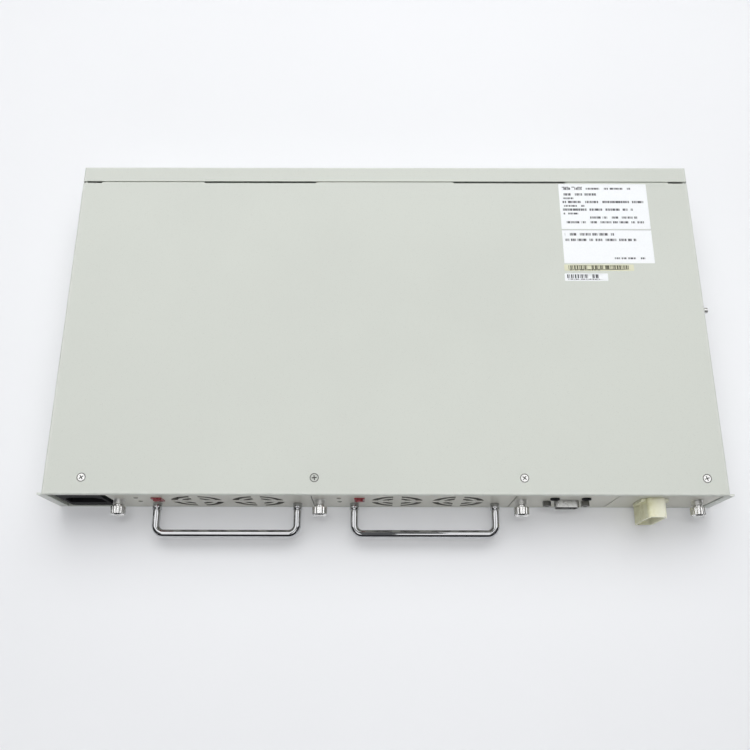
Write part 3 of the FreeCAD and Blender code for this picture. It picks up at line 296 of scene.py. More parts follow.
# %% Soft boxes and cards
SOFT_BOXES = (("overhead_box", (0.0, -0.14, 1.0), (0.0, -0.14, 0.0), 0.35, 0.10, 1.4),
              ("rear_box", (0.0, 0.72, 1.25), (0.0, 0.15, 0.0), 1.4, 1.4, 15.4),
              ("front_fill", (0.0, -1.5, 0.6), (0.0, -0.12, 0.02), 1.4, 0.6, 3.2),
              ("wide_bounce", (0.0, 0.3, 2.2), (0.0, 0.3, 0.0), 4.0, 4.0, 28.5))
CARD_HEIGHT = 0.95
CARD_LEVEL = 1.35
CARDS = (("left", -0.62, 0.40, 0.96, 1.00), ("right", 0.60, 0.40, 0.96, 1.00),
         ("front_left", -0.27, -0.40, 0.36, 0.44), ("front_right", 0.18, -0.40, 0.30, 0.44))


def soft_box(name, place, aim, width, depth, power, card=False):
    """Area lamp; a card is seen only in mirrors, and the other lamps never are."""
    light = bpy.data.lights.new(name, "AREA")
    light.shape = "RECTANGLE"
    light.size = width
    light.size_y = depth
    light.energy = power
    lamp = put(name, light)
    facing = (Vector(aim) - Vector(place)).to_track_quat("-Z", "Y")
    lamp.matrix_world = Matrix.LocRotScale(Vector(place), facing, None)
    lamp.visible_glossy = card
    lamp.visible_diffuse = not card


for name, place, aim, width, depth, power in SOFT_BOXES:
    soft_box(name, place, aim, width, depth, power)
for side, x, y, width, depth in CARDS:
    power = CARD_LEVEL * np.pi * width * depth
    soft_box(f"{side}_card", (x, y, CARD_HEIGHT), (x, y, 0), width, depth, power, card=True)
print(len(SOFT_BOXES), "soft boxes,", len(CARDS), "cards")

# %% Flags and room
FLAG_HEIGHT = 0.52
FLAGS = (("front", (-0.90, -0.85), (0.90, -0.85)), ("right", (0.95, -0.85), (0.95, 0.85)),
         ("back", (0.90, 0.85), (-0.90, 0.85)), ("left", (-0.95, 0.85), (-0.95, -0.85)))
HAZE_EDGE = (0.38, 0.50)
WALL_LEVEL = 0.05
CEILING_LEVEL = 0.16
CEILING_EDGE = (0.62, 0.93)


def flag_cloth():
    cloth = Finish("black_flag_cloth", Specular_IOR_Level=0.1)
    return cloth.done(cloth.blend(cloth.noise(400.0), (0.012, 0.012, 0.013), (0.020, 0.020, 0.021)))


def dim_room():
    """Dark walls, a paler ceiling, and a pale haze low down that is seen and mirrored but lights nothing."""
    world = bpy.data.worlds.new("studio_surround")
    world.use_nodes = True
    air = Nodes(world.node_tree)
    way = air.add("ShaderNodeTexCoord").outputs["Generated"]
    height = air.add("ShaderNodeSeparateXYZ", Vector=way).outputs["Z"]
    room = air.fade(height, *CEILING_EDGE, WALL_LEVEL, CEILING_LEVEL)
    haze = air.times(air.fade(height, *HAZE_EDGE, 1.0, 0.0), air.looked_at())
    background = air.tree.nodes["Background"]
    background.inputs["Color"].default_value = FLOOR_GLOW
    air.join(background.inputs["Strength"], air.most(room, haze))
    scene.world = world


black = flag_cloth()
for side, (x0, y0), (x1, y1) in FLAGS:
    rim = [(x0, y0, 0), (x1, y1, 0), (x1, y1, FLAG_HEIGHT), (x0, y0, FLAG_HEIGHT)]
    flag = flat_sheet(f"{side}_flag", rim, black)
    flag.visible_camera = False
    flag.visible_diffuse = False
    flag.visible_shadow = False
dim_room()
print(len(FLAGS), "flags, walls", WALL_LEVEL, "ceiling", CEILING_LEVEL)

# %% [markdown]
# ## Grey powder coat
# The case is dipped in charge-held powder and baked. Up close that gives a fine orange peel about a
# millimetre across, single grains below that, and broad clouds where the coat is a little thicker. Folds
# get rubbed smoother by hands and shelves, and a paler band along them is partly that wear and partly a
# painted highlight. The panels have the same colour with a smoother, shinier coat; their cut edges carry
# painted shade, weaker close to the output panel's seam, so slots and seams look dark.

# %% Powder coat
CASE_GREY = np.array([0.604, 0.630, 0.580])
PANEL_GREY = np.array([0.616, 0.608, 0.540])
COVER_LOW, COVER_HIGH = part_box("top_cover")
FOLD = 2.6 * MM
# Close to this seam the painted shade on the cut edges is weaker.
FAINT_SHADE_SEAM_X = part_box("output_front_panel")[0].x
FAINT_SHADE_SEAM_REACH = (1.5 * MM, 3.0 * MM)


def rubbed_and_highlit_folds(finish):
    """Share of rubbing and painted highlight: high where two outer faces of the case meet, broken up by
    noise.
    """
    across = finish.fade(finish.calc("ABSOLUTE", finish.x), COVER_HIGH.x - FOLD, COVER_HIGH.x)
    along = finish.fade(finish.calc("ABSOLUTE", finish.y), -COVER_LOW.y - FOLD, -COVER_LOW.y)
    top = finish.fade(finish.z, COVER_HIGH.z - FOLD, COVER_HIGH.z)
    folds = finish.most(finish.times(across, top), finish.times(along, top), finish.times(across, along))
    return finish.times(folds, finish.fade(finish.noise(160.0, 3.0), 0.38, 0.62, 0.35, 1.0))


def powder_coat(name, grey, smooth, rough, shaded_cut_edge=None):
    """Grey coat; smooth scales its orange peel down, rough is its middle roughness, the last a band of y in
    painted shade.
    """
    coat = Finish(name, Specular_IOR_Level=0.42)
    clouds = coat.noise(8.0, 3.0)
    peel = coat.noise(950.0)
    grains = coat.noise(4200.0, 1.0)
    specks = coat.fade(coat.noise(2100.0, 0.0), 0.745, 0.775)
    wear_and_highlight = rubbed_and_highlit_folds(coat)
    colour = coat.blend(coat.fade(clouds, 0.32, 0.68), grey * 0.975, grey * 1.012)
    colour = coat.blend(coat.fade(grains, 0.3, 0.7, 0.0, 0.05), colour, (0.33, 0.34, 0.32))
    colour = coat.blend(coat.times(specks, 0.16), colour, (0.25, 0.25, 0.24))
    # Paler folds: partly rubbed wear, partly a painted highlight along the fold.
    colour = coat.blend(coat.times(wear_and_highlight, 0.5), colour, (0.74, 0.75, 0.72))
    # Painted shade on cut edges behind the front face: slot walls, panel edges and seams.
    if shaded_cut_edge is not None:
        from_faint_shade_seam = coat.calc("ABSOLUTE", coat.calc("SUBTRACT", coat.x, FAINT_SHADE_SEAM_X))
        seam_shade = coat.fade(from_faint_shade_seam, *FAINT_SHADE_SEAM_REACH, 0.15, 0.72)
        seam_shade = coat.times(coat.band(coat.y, *shaded_cut_edge, 0.12 * MM), seam_shade)
        colour = coat.blend(seam_shade, colour, (0.10, 0.10, 0.095))
    unevenness = coat.calc("ADD", clouds, coat.times(grains, 0.5))
    roughness = coat.fade(unevenness, 0.4, 1.1, rough - 0.05, rough + 0.07)
    roughness = coat.calc("SUBTRACT", roughness, coat.times(wear_and_highlight, 0.12))
    surface = coat.relief(peel, 0.22 / smooth, 0.06)
    return coat.done(colour, roughness, coat.relief(grains, 0.12 / smooth, 0.02, surface))


# The band of y behind the panels' front face that is painted in shade.
shaded_panel_edge = (COVER_LOW.y + 0.25 * MM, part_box("ac_bay_plate")[1].y - 0.15 * MM)
finishes = {"case_paint": powder_coat("case_powder_coat", CASE_GREY, 1.0, 0.46),
            "panel_paint": powder_coat("panel_coat", PANEL_GREY, 1.7, 0.33, shaded_panel_edge)}
print("coats", sorted(finishes))

# %% [markdown]
# ## Bright metals
# Chrome is a near mirror with faint wiping smudges. The knobs are turned from bar and nickel plated, so
# fine rings run round them. Screws are duller, with painted shade at the bottom of the cross and round the
# rim. Zinc sheet shows the crystals that grew as it cooled, and tin on the data connector's shell is soft
# and scuffed.

# %% Chrome and nickel


def chrome():
    metal = Finish("handle_chrome_plate", Metallic=1.0)
    wipes = metal.noise((60.0, 60.0, 120.0), 3.0)
    hairs = metal.noise((220.0, 9000.0, 9000.0))
    colour = metal.tint(wipes, (0.51, 0.515, 0.525), (0.57, 0.575, 0.585))
    return metal.done(colour, metal.fade(wipes, 0.35, 0.8, 0.03, 0.08), metal.relief(hairs, 0.03, 0.01))


def turned_nickel(name, rough):
    metal = Finish(name, Metallic=1.0)
    rings = metal.noise((120.0, 7000.0, 120.0), 1.0)
    haze = metal.noise(340.0)
    colour = metal.tint(haze, (0.78, 0.775, 0.76), (0.88, 0.88, 0.87))
    roughness = metal.fade(haze, 0.25, 0.75, rough - 0.03, rough + 0.03)
    return metal.done(colour, roughness, metal.relief(rings, 0.04, 0.01))


finishes["handle_chrome"] = chrome()
finishes["knob_metal"] = turned_nickel("knob_turned_nickel", 0.22)
satin_nickel = turned_nickel("ferrule_satin_nickel", 0.46)
print("mirrors ready", len(finishes))

# %% Cover screws and screwlocks
SCREW_LOW, SCREW_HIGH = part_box("cover_screws")
SCREW_TOP = SCREW_HIGH.z
SCREW_Y = (SCREW_LOW.y + SCREW_HIGH.y) / 2
SCREW_RADIUS = (SCREW_HIGH.y - SCREW_LOW.y) / 2
DULL_SCREW_X = -45.2 * MM
SCREWS_X = (SCREW_LOW.x + SCREW_RADIUS, DULL_SCREW_X, 88.6 * MM, SCREW_HIGH.x - SCREW_RADIUS)
DULL_SCREW_REACH = 5 * MM
HEAD_BOTTOM = SCREW_TOP - 2.4 * MM
HEAD_START = SCREW_TOP - 1.4 * MM
CROSS_BOTTOM = SCREW_TOP - 0.30 * MM
CROSS_START = SCREW_TOP - 0.10 * MM
RIM_START = SCREW_RADIUS - 0.75 * MM
RIM_FULL = SCREW_RADIUS - 0.4 * MM
PANEL_FRONT = COVER_LOW.y
# Colour of the painted shade in the screws' recesses.
RECESS_SHADE = (0.05, 0.048, 0.044)
SCREWLOCK_DARK = (0.09, 0.088, 0.082)


def from_screw(metal):
    """Distance from the nearest cover screw's line: the least of the four distances in plan."""
    dy = metal.calc("SUBTRACT", metal.y, SCREW_Y)
    dy = metal.times(dy, dy)
    nearest = 1.0
    for x in SCREWS_X:
        dx = metal.calc("SUBTRACT", metal.x, x)
        nearest = metal.calc("MINIMUM", metal.calc("ADD", metal.times(dx, dx), dy), nearest)
    return metal.calc("SQRT", nearest)


def screw_plate():
    """Cover screws, one of them dull, with painted shade in the cross and round the rim; dark screwlocks in
    front.
    """
    metal = Finish("screw_plating")
    haze = metal.noise(700.0, 3.0)
    dull = metal.band(metal.x, DULL_SCREW_X - DULL_SCREW_REACH, DULL_SCREW_X + DULL_SCREW_REACH, 1 * MM)
    on_cover = metal.fade(metal.z, HEAD_BOTTOM, HEAD_START)
    deep = metal.fade(metal.z, CROSS_BOTTOM, CROSS_START, 1.0, 0.0)
    rim = metal.fade(from_screw(metal), RIM_START, RIM_FULL)
    # Painted shade at the bottom of the cross and in the gap round the rim.
    recess_shade = metal.times(on_cover, metal.most(deep, rim))
    outside = metal.fade(metal.y, PANEL_FRONT - 0.3 * MM, PANEL_FRONT, 0.85, 0.0)
    colour = metal.tint(haze, (0.66, 0.66, 0.645), (0.80, 0.80, 0.79))
    colour = metal.blend(dull, colour, (0.52, 0.54, 0.50))
    colour = metal.blend(metal.times(recess_shade, 0.9), colour, RECESS_SHADE)
    colour = metal.blend(outside, colour, SCREWLOCK_DARK)
    metal.join(metal.shader.inputs["Metallic"], metal.fade(dull, 0.0, 1.0, 0.75, 0.15))
    roughness = metal.calc("ADD", metal.gloss(haze, 0.18, 0.28), metal.times(dull, 0.22))
    return metal.done(colour, roughness, metal.relief(haze, 0.08, 0.02))


finishes["screw_steel"] = screw_plate()
print("screws at", [round(x / MM, 1) for x in SCREWS_X])

# %% Zinc, tin, contacts and aluminium


def zinc_sheet():
    metal = Finish("zinc_sheet", Metallic=0.7)
    tone = metal.add("ShaderNodeSeparateColor", Color=metal.cells(230.0, "Color")).outputs["Red"]
    rolled = metal.noise((1800.0, 25.0, 1800.0))
    colour = metal.blend(tone, (0.58, 0.60, 0.61), (0.66, 0.68, 0.69))
    roughness = metal.calc("ADD", metal.fade(tone, 0.0, 1.0, 0.38, 0.44), metal.times(rolled, 0.08))
    return metal.done(colour, roughness, metal.relief(rolled, 0.05, 0.02))


finishes["zinc_steel"] = zinc_sheet()
finishes["shell_steel"] = simple_finish(
    "tinned_shell", (520.0, 3.0), (0.50, 0.50, 0.485), (0.66, 0.66, 0.65), (0.24, 0.40),
    ((300.0, 6000.0, 2400.0), 2.0, 0.08, 0.01), Metallic=1.0)
finishes["contact_metal"] = simple_finish(
    "contact_plating", (900.0, 2.0), (0.66, 0.56, 0.36), (0.78, 0.70, 0.52), (0.22, 0.36),
    (900.0, 2.0, 0.05, 0.01), Metallic=1.0)
drawn_lines = ((3500.0, 12.0, 3500.0), 3.0)
finishes["heatsink_aluminium"] = simple_finish(
    "extruded_aluminium", drawn_lines, (0.62, 0.63, 0.64), (0.74, 0.75, 0.76), (0.28, 0.42),
    (*drawn_lines, 0.12, 0.03), Metallic=1.0)
print("metals ready", len(finishes))

# %% [markdown]
# ## Moulded plastics
# Black fittings carry the fine spark texture of their moulds and a little pale dust. The rocker is glossy
# red. Uncoloured nylon lets light in and scatters it. Below its top it is painted a deeper honey, partly its
# own colour in depth and partly painted shade, and its left side a darker honey as painted shade, so the top
# looks lit. The lamps are smoky resin, which looks dark while they are out.

# %% Black and red


def black_moulding():
    plastic = Finish("black_moulding", Specular_IOR_Level=0.08)
    flow = plastic.noise(45.0, 3.0)
    dust = plastic.fade(plastic.noise(5200.0, 1.0), 0.56, 0.72)
    dust = plastic.times(dust, plastic.fade(flow, 0.35, 0.7))
    colour = plastic.tint(flow, (0.0105, 0.011, 0.0125), (0.020, 0.0205, 0.022))
    colour = plastic.blend(plastic.times(dust, 0.10), colour, (0.30, 0.29, 0.27))
    sparks = plastic.relief(plastic.noise(2600.0), 0.22, 0.03)
    return plastic.done(colour, plastic.gloss(flow, 0.58, 0.72), sparks)


finishes["black_plastic"] = black_moulding()
finishes["red_plastic"] = simple_finish(
    "red_rocker_moulding", (420.0, 2.0), (0.205, 0.008, 0.016), (0.275, 0.014, 0.024), (0.22, 0.34),
    (3800.0, 1.0, 0.08, 0.02), Specular_IOR_Level=0.5, Coat_Weight=0.25, Coat_Roughness=0.12)
print("opaque plastics ready", len(finishes))

# %% Nylon and lamp resin
HOUSING_LOW, HOUSING_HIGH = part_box("output_housing")
# Heights below the top painted a deeper honey: partly the nylon's depth colour, partly painted shade.
HONEY_AND_SHADE_DEPTH = (HOUSING_HIGH.z - 12 * MM, HOUSING_HIGH.z - 2 * MM)
# Left side of the housing, painted a darker honey as painted shade.
SHADED_SIDE = (HOUSING_LOW.x + 4 * MM, HOUSING_HIGH.x - 5 * MM)


def natural_nylon():
    plastic = Finish("natural_nylon", Subsurface_Weight=1.0, Subsurface_Scale=0.005,
                     Subsurface_Radius=(1.0, 1.0, 1.0), Specular_IOR_Level=0.35)
    flow = plastic.noise(150.0, 3.0)
    grain = plastic.noise(2400.0, 1.0)
    # deep is the deeper honey below the top, partly painted shade.
    deep = plastic.fade(plastic.z, *HONEY_AND_SHADE_DEPTH, 1.0, 0.0)
    # thick is the left side's painted shade, broken up by noise.
    thick = plastic.fade(plastic.x, *SHADED_SIDE, 1.0, 0.0)
    thick = plastic.times(thick, plastic.fade(plastic.noise(260.0), 0.3, 0.7, 0.25, 0.75))
    colour = plastic.tint(flow, (0.80, 0.795, 0.60), (0.85, 0.845, 0.66))
    colour = plastic.blend(plastic.times(deep, 0.5), colour, (0.90, 0.885, 0.60))
    colour = plastic.blend(thick, colour, (0.60, 0.58, 0.33))
    return plastic.done(colour, plastic.gloss(flow, 0.34, 0.46), plastic.relief(grain, 0.10, 0.03))


finishes["natural_nylon"] = natural_nylon()
finishes["lamp_lens"] = simple_finish(
    "lamp_resin", (1500.0, 2.0), (0.20, 0.21, 0.18), (0.29, 0.30, 0.25), (0.10, 0.2),
    Subsurface_Weight=0.4, Subsurface_Scale=0.0015, Coat_Weight=0.4, Coat_Roughness=0.05)
print("plastics ready", len(finishes))

# %% [markdown]
# ## What the sheet metal hides
# Pulling a module out shows its board and power parts, so these need finishes too. Copper tracks under
# green mask are a grid of lines with pads where they meet; the transformers have a taped winding between
# dark ferrite halves; the capacitors wear a printed sleeve and a bare vented top; the mains leads go by
# colour.

# %% Circuit boards


def solder_mask():
    mask = Finish("board_solder_mask", Specular_IOR_Level=0.5)
    weave = mask.noise(1800.0)
    lanes = mask.add("ShaderNodeTexBrick", {"offset": 0.37, "offset_frequency": 3}, Vector=mask.place,
                     Scale=95.0, Mortar_Size=0.035, Mortar_Smooth=0.2, Bias=0.0)
    track = mask.times(lanes.outputs["Fac"], mask.fade(mask.noise(38.0), 0.42, 0.5))
    pads = mask.fade(mask.cells(150.0, "Distance"), 0.16, 0.20, 1.0, 0.0)
    pads = mask.times(pads, mask.fade(mask.noise(30.0, 1.0), 0.50, 0.56))
    colour = mask.tint(weave, (0.010, 0.085, 0.034), (0.016, 0.115, 0.046))
    colour = mask.blend(track, colour, (0.035, 0.21, 0.085))
    colour = mask.blend(pads, colour, (0.60, 0.56, 0.44))
    height = mask.calc("ADD", track, mask.times(pads, 1.5))
    return mask.done(colour, mask.gloss(weave, 0.28, 0.4), mask.relief(height, 0.4, 0.05))


finishes["circuit_board"] = solder_mask()
print("boards ready", len(finishes))

# %% Transformers and capacitors
CAPACITOR_LOW, CAPACITOR_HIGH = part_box("rectifier_1_capacitors")
CORE_LOW, CORE_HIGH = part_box("rectifier_1_transformers")
WINDING_HALF = 15.0 * MM
CORE_HALF = 9.0 * MM
BARE_ALUMINIUM = (0.62, 0.63, 0.64)


def wound_ferrite():
    """Dark core over the middle of each transformer, yellow tape where the winding stands out of it."""
    wound = Finish("wound_ferrite")
    middles = (CORE_LOW.y + WINDING_HALF, CORE_HIGH.y - WINDING_HALF)
    core = wound.most(*[wound.band(wound.y, m - CORE_HALF, m + CORE_HALF, 0.05 * MM) for m in middles])
    grit = wound.noise(2200.0, 3.0)
    turns = wound.noise((40.0, 40.0, 1400.0), 1.0)
    tape = wound.blend(wound.fade(turns, 0.35, 0.65), (0.56, 0.36, 0.035), (0.72, 0.50, 0.07))
    ferrite = wound.tint(grit, (0.022, 0.022, 0.024), (0.045, 0.045, 0.047))
    height = wound.blend(core, turns, grit)
    return wound.done(wound.blend(core, tape, ferrite), wound.fade(core, 0.0, 1.0, 0.38, 0.62),
                      wound.relief(height, 0.25, 0.08))


def can_sleeve(name, creases, dark, light, rough, bare, stripe=None):
    """Creased sleeve, with bare aluminium above the heights in bare and a pale stripe in front of stripe."""
    sleeve = Finish(name)
    folds = sleeve.noise(creases)
    colour = sleeve.tint(folds, dark, light)
    if stripe is not None:
        colour = sleeve.blend(sleeve.fade(sleeve.y, *stripe, 1.0, 0.0), colour, (0.42, 0.45, 0.50))
    colour = sleeve.blend(sleeve.fade(sleeve.z, *bare), colour, BARE_ALUMINIUM)
    return sleeve.done(colour, sleeve.gloss(folds, *rough), sleeve.relief(folds, 0.10, 0.05))


finishes["ferrite"] = wound_ferrite()
finishes["capacitor_sleeve"] = can_sleeve(
    "capacitor_sleeve", (500.0, 500.0, 60.0), (0.010, 0.013, 0.030), (0.018, 0.024, 0.050), (0.26, 0.40),
    (CAPACITOR_HIGH.z - 0.12 * MM, CAPACITOR_HIGH.z - 0.02 * MM),
    (CAPACITOR_LOW.y + 0.5 * MM, CAPACITOR_LOW.y + 0.9 * MM))
print("power parts ready", len(finishes))

# %% Mains leads
LEAD_LOW, LEAD_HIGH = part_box("ac_leads")


def lead_insulation():
    """Brown, green with a yellow spiral, and blue, from left to right."""
    cover = Finish("lead_insulation")
    third = (LEAD_HIGH.x - LEAD_LOW.x) / 3
    slant = cover.times(cover.calc("ADD", cover.y, cover.z), 900.0)
    spiral = cover.fade(cover.calc("SINE", slant), 0.2, 0.4)
    earth = cover.blend(spiral, (0.02, 0.20, 0.05), (0.62, 0.52, 0.03))
    brown = cover.blend(cover.noise(900.0), (0.085, 0.036, 0.016), (0.11, 0.048, 0.022))
    blue = cover.blend(cover.noise(900.0), (0.02, 0.06, 0.26), (0.03, 0.08, 0.32))
    past_brown = cover.fade(cover.x, LEAD_LOW.x + third, LEAD_LOW.x + third + 0.1 * MM)
    past_earth = cover.fade(cover.x, LEAD_HIGH.x - third - 0.1 * MM, LEAD_HIGH.x - third)
    colour = cover.blend(past_earth, cover.blend(past_brown, brown, earth), blue)
    ripple = cover.relief(cover.noise(700.0), 0.1, 0.05)
    return cover.done(colour, cover.gloss(cover.noise(600.0), 0.34, 0.48), ripple)


finishes["lead_insulation"] = lead_insulation()
print("hidden parts ready", len(finishes))

# %% [markdown]
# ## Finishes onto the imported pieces
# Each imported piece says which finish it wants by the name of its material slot, so one loop dresses all
# sixty. The pieces themselves are never moved or edited.

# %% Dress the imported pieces
for node in nodes.values():
    packed_slot = node.material_slots[0]
    packed_slot.material = finishes[packed_slot.material.name]
print("dressed", len(nodes), "pieces in", len(finishes), "finishes")

# %% [markdown]
# ## Surfaces from numpy
# New pieces are grids of points. A function of two parameters fills a whole array at once, neighbouring
# points are joined into quads by index arithmetic, and a weld closes the seam and the poles. That is
# quicker and steadier than building by hand, and the formula says exactly what the shape is.

# %% Grid to mesh helpers
WELD = 4e-7


def circle(steps):
    """Angles evenly round a circle, without the last, which is the first again."""
    return np.linspace(0, 2 * np.pi, steps, endpoint=False)


def grid(x, y, z):
    """Points from three arrays, each repeated along the directions that it lacks."""
    return np.stack(np.broadcast_arrays(x, y, z), -1)


def skin(points, wrap_u=False, wrap_v=False):
    """Vertices and quads of a grid points[u, v]: each cell between four neighbours becomes one quad."""
    rows, columns = points.shape[:2]
    u = np.arange(rows if wrap_u else rows - 1)[:, None]
    v = np.arange(columns if wrap_v else columns - 1)[None, :]
    u_next = (u + 1) % rows
    v_next = (v + 1) % columns
    corners = [u * columns + v, u_next * columns + v, u_next * columns + v_next, u * columns + v_next]
    return points.reshape(-1, 3), np.stack(np.broadcast_arrays(*corners), -1).reshape(-1, 4)


def close_mesh(mesh):
    """Merges points that coincide, drops empty faces and turns every face outwards."""
    work = bmesh.new()
    work.from_mesh(mesh)
    bmesh.ops.remove_doubles(work, verts=work.verts, dist=WELD)
    bmesh.ops.dissolve_degenerate(work, edges=work.edges, dist=WELD)
    bmesh.ops.recalc_face_normals(work, faces=work.faces)
    work.to_mesh(mesh)
    work.free()


def make_piece(name, skins, body, slot, finish=None, crease=32.0):
    """One piece from some skins, smooth except at creases, that rides on a body in its slot's own finish."""
    starts = np.cumsum([0] + [len(points) for points, _ in skins[:-1]])
    points = np.concatenate([points for points, _ in skins])
    quads = np.concatenate([quads + start for (_, quads), start in zip(skins, starts)])
    mesh = bpy.data.meshes.new(name)
    mesh.from_pydata(points.tolist(), [], quads.tolist())
    close_mesh(mesh)
    mesh.shade_smooth()
    mesh.set_sharp_from_angle(angle=np.radians(crease))
    mesh.materials.append(finish or finishes[slot])
    piece = put(name, mesh)
    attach(piece, body)
    print(name, len(mesh.polygons), "faces")
    return piece


def turned_y(profile, x, z, sides):
    """Surface of revolution about a line along Y: (x + r cos a, y, z + r sin a) for the profile's (y, r)."""
    y, r = np.array(profile, float).T[:, :, None]
    angle = circle(sides)
    return skin(grid(x + r * np.cos(angle), y, z + r * np.sin(angle)), wrap_v=True)


def place_of(node):
    """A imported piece's middle in x and z, and its front and back in y."""
    low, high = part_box(node)
    return (low.x + high.x) / 2, (low.z + high.z) / 2, low.y, high.y


print("helpers ready")

# %% [markdown]
# ## Chromed handles
# A handle is a round bar bent twice, with a collar where each end meets the panel. Its mirror finish shows
# every facet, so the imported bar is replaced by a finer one: a circle carried along the bent line, whose
# radius changes on the way to make stud, collar and bar in one skin.

# %% Handles
ROD_RADIUS = 2.6 * MM
ROD_BEND = 5.5 * MM
COLLAR_RADIUS = 3.1 * MM
COLLAR_GAP = 1.2 * MM
FOOT = np.array([(0.0, 0.0), (0.0, 1.5), (1.5, 1.5), (1.5, 2.85), (1.58, 3.02), (1.75, 3.1), (3.1, 3.1),
                 (3.2, 2.95), (3.5, 2.95), (3.6, 3.1), (5.75, 3.1), (5.98, 3.02), (6.1, 2.85),
                 (6.1, 2.6)]) * MM
LEG_STEPS = 3
BAR_STEPS = 10
BEND_STEPS = 18


def bent_line(x_left, x_right, y_bar, y_foot):
    """Centre line in the handle's plane: two legs and a bar joined by quarter circles, with its heading."""
    start = y_bar + ROD_BEND
    quarter = np.linspace(0, np.pi / 2, BEND_STEPS)
    first = np.pi + quarter
    second = 1.5 * np.pi + quarter
    leg = np.linspace(y_foot, start, LEG_STEPS + 1)[:-1]
    x = np.concatenate([np.full(LEG_STEPS, x_left), x_left + ROD_BEND + ROD_BEND * np.cos(first),
                        np.linspace(x_left + ROD_BEND, x_right - ROD_BEND, BAR_STEPS + 2)[1:-1],
                        x_right - ROD_BEND + ROD_BEND * np.cos(second), np.full(LEG_STEPS, x_right)])
    y = np.concatenate([leg, start + ROD_BEND * np.sin(first), np.full(BAR_STEPS, y_bar),
                        start + ROD_BEND * np.sin(second), leg[::-1]])
    heading = np.concatenate([np.full(LEG_STEPS, -np.pi / 2), first - 1.5 * np.pi, np.zeros(BAR_STEPS),
                              second - 1.5 * np.pi, np.full(LEG_STEPS, np.pi / 2)])
    return x, y, heading


def handle_skin(x_left, x_right, y_back, y_bar, z, sides=48):
    """Circle carried along the bent line: line(s) + r(s) * (cos a * across(s) + sin a * up)."""
    foot_y = y_back - FOOT[:, 0]
    feet = len(foot_y)
    x, y, heading = bent_line(x_left, x_right, y_bar, foot_y[-1] - COLLAR_GAP)
    radius = np.concatenate([FOOT[:, 1], np.full(len(x), ROD_RADIUS), FOOT[::-1, 1]])[:, None]
    x = np.concatenate([np.full(feet, x_left), x, np.full(feet, x_right)])[:, None]
    y = np.concatenate([foot_y, y, foot_y[::-1]])[:, None]
    heading = np.concatenate([np.full(feet, -np.pi / 2), heading, np.full(feet, np.pi / 2)])[:, None]
    across = radius * np.cos(circle(sides))
    up = radius * np.sin(circle(sides))
    return skin(grid(x - np.sin(heading) * across, y + np.cos(heading) * across, z + up), wrap_v=True)


for rectifier in RECTIFIERS:
    low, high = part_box(f"{rectifier}_handle")
    bar = handle_skin(low.x + COLLAR_RADIUS, high.x - COLLAR_RADIUS, high.y, low.y + ROD_RADIUS,
                      (low.z + high.z) / 2)
    piece = make_piece(f"{rectifier}_bent_handle", [bar], rectifier, "handle_chrome", crease=40.0)
    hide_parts(f"{rectifier}_handle")

# %% [markdown]
# ## Captive thumbscrews
# The knob is fluted so that fingers grip it, has a driver slot across its face, and carries a threaded
# shank. All of that is one profile turned about the screw's line: the flutes are a row of bows in the
# radius, the thread is a ripple that climbs as it turns, and the slot pushes the face back where it is
# close to the middle line.

# %% Thumbscrew profile
THREAD_START = 11.9
THREAD_FULL = 12.6
THUMBSCREW_LENGTH = 17.0
FACE_STEPS = 16
GRIP_STEPS = 6
SHANK_STEPS = 47


def smooth_step(value, start, end):
    share = np.clip((value - start) / (end - start), 0, 1)
    return share * share * (3 - 2 * share)


def profile_rows(y, radius, flute, thread):
    """Rows of a profile from four columns, of which some are single numbers."""
    return np.stack(np.broadcast_arrays(y, radius, flute, thread), 1)


def thumbscrew_profile(y_front, y_back):
    """Columns of y, radius, share of fluting and share of thread, from the middle of the face to the tip."""
    shank = np.linspace(THREAD_START, 16.5, SHANK_STEPS)
    taper = np.minimum(2.0, 1.55 + (16.9 - shank) * 0.75)
    table = np.concatenate([
        profile_rows(0.0, np.linspace(0, 3.7, FACE_STEPS), 0.0, 0.0),
        [(0.06, 3.95, 0, 0), (0.22, 4.18, 0, 0), (0.5, 4.4, 0.15, 0), (0.72, 4.62, 0.6, 0), (0.9, 4.85, 1, 0),
         (1.0, 4.9, 1, 0)],
        profile_rows(np.linspace(1.3, 5.4, GRIP_STEPS), 4.9, 1.0, 0.0),
        [(5.7, 4.86, 1, 0), (5.88, 4.6, 0.5, 0), (6.0, 4.3, 0, 0), (6.0, 3.0, 0, 0), (6.9, 3.0, 0, 0),
         (7.0, 2.9, 0, 0), (7.0, 2.0, 0, 0), (11.6, 2.0, 0, 0), (11.7, 2.0, 0, 0)],
        profile_rows(shank, taper, 0.0, smooth_step(shank, THREAD_START, THREAD_FULL)),
        [(THUMBSCREW_LENGTH, 1.3, 0, 0), (THUMBSCREW_LENGTH, 0.0, 0, 0)]])
    y = y_front + table[:, 0] / THUMBSCREW_LENGTH * (y_back - y_front)
    return y, table[:, 1] * MM, table[:, 2], table[:, 3]


print("profile rows", len(thumbscrew_profile(0.0, 1.0)[0]))

# %% Thumbscrews
FLUTES = 12
FLUTE_DEPTH = 0.34 * MM
SLOT_HALF = 0.5 * MM
SLOT_DEPTH = 1.0 * MM
SLOT_EDGE = 0.08 * MM
FACE_DEPTH = 1.05 * MM
THREAD_PITCH = 0.8 * MM
THREAD_DEPTH = 0.28 * MM


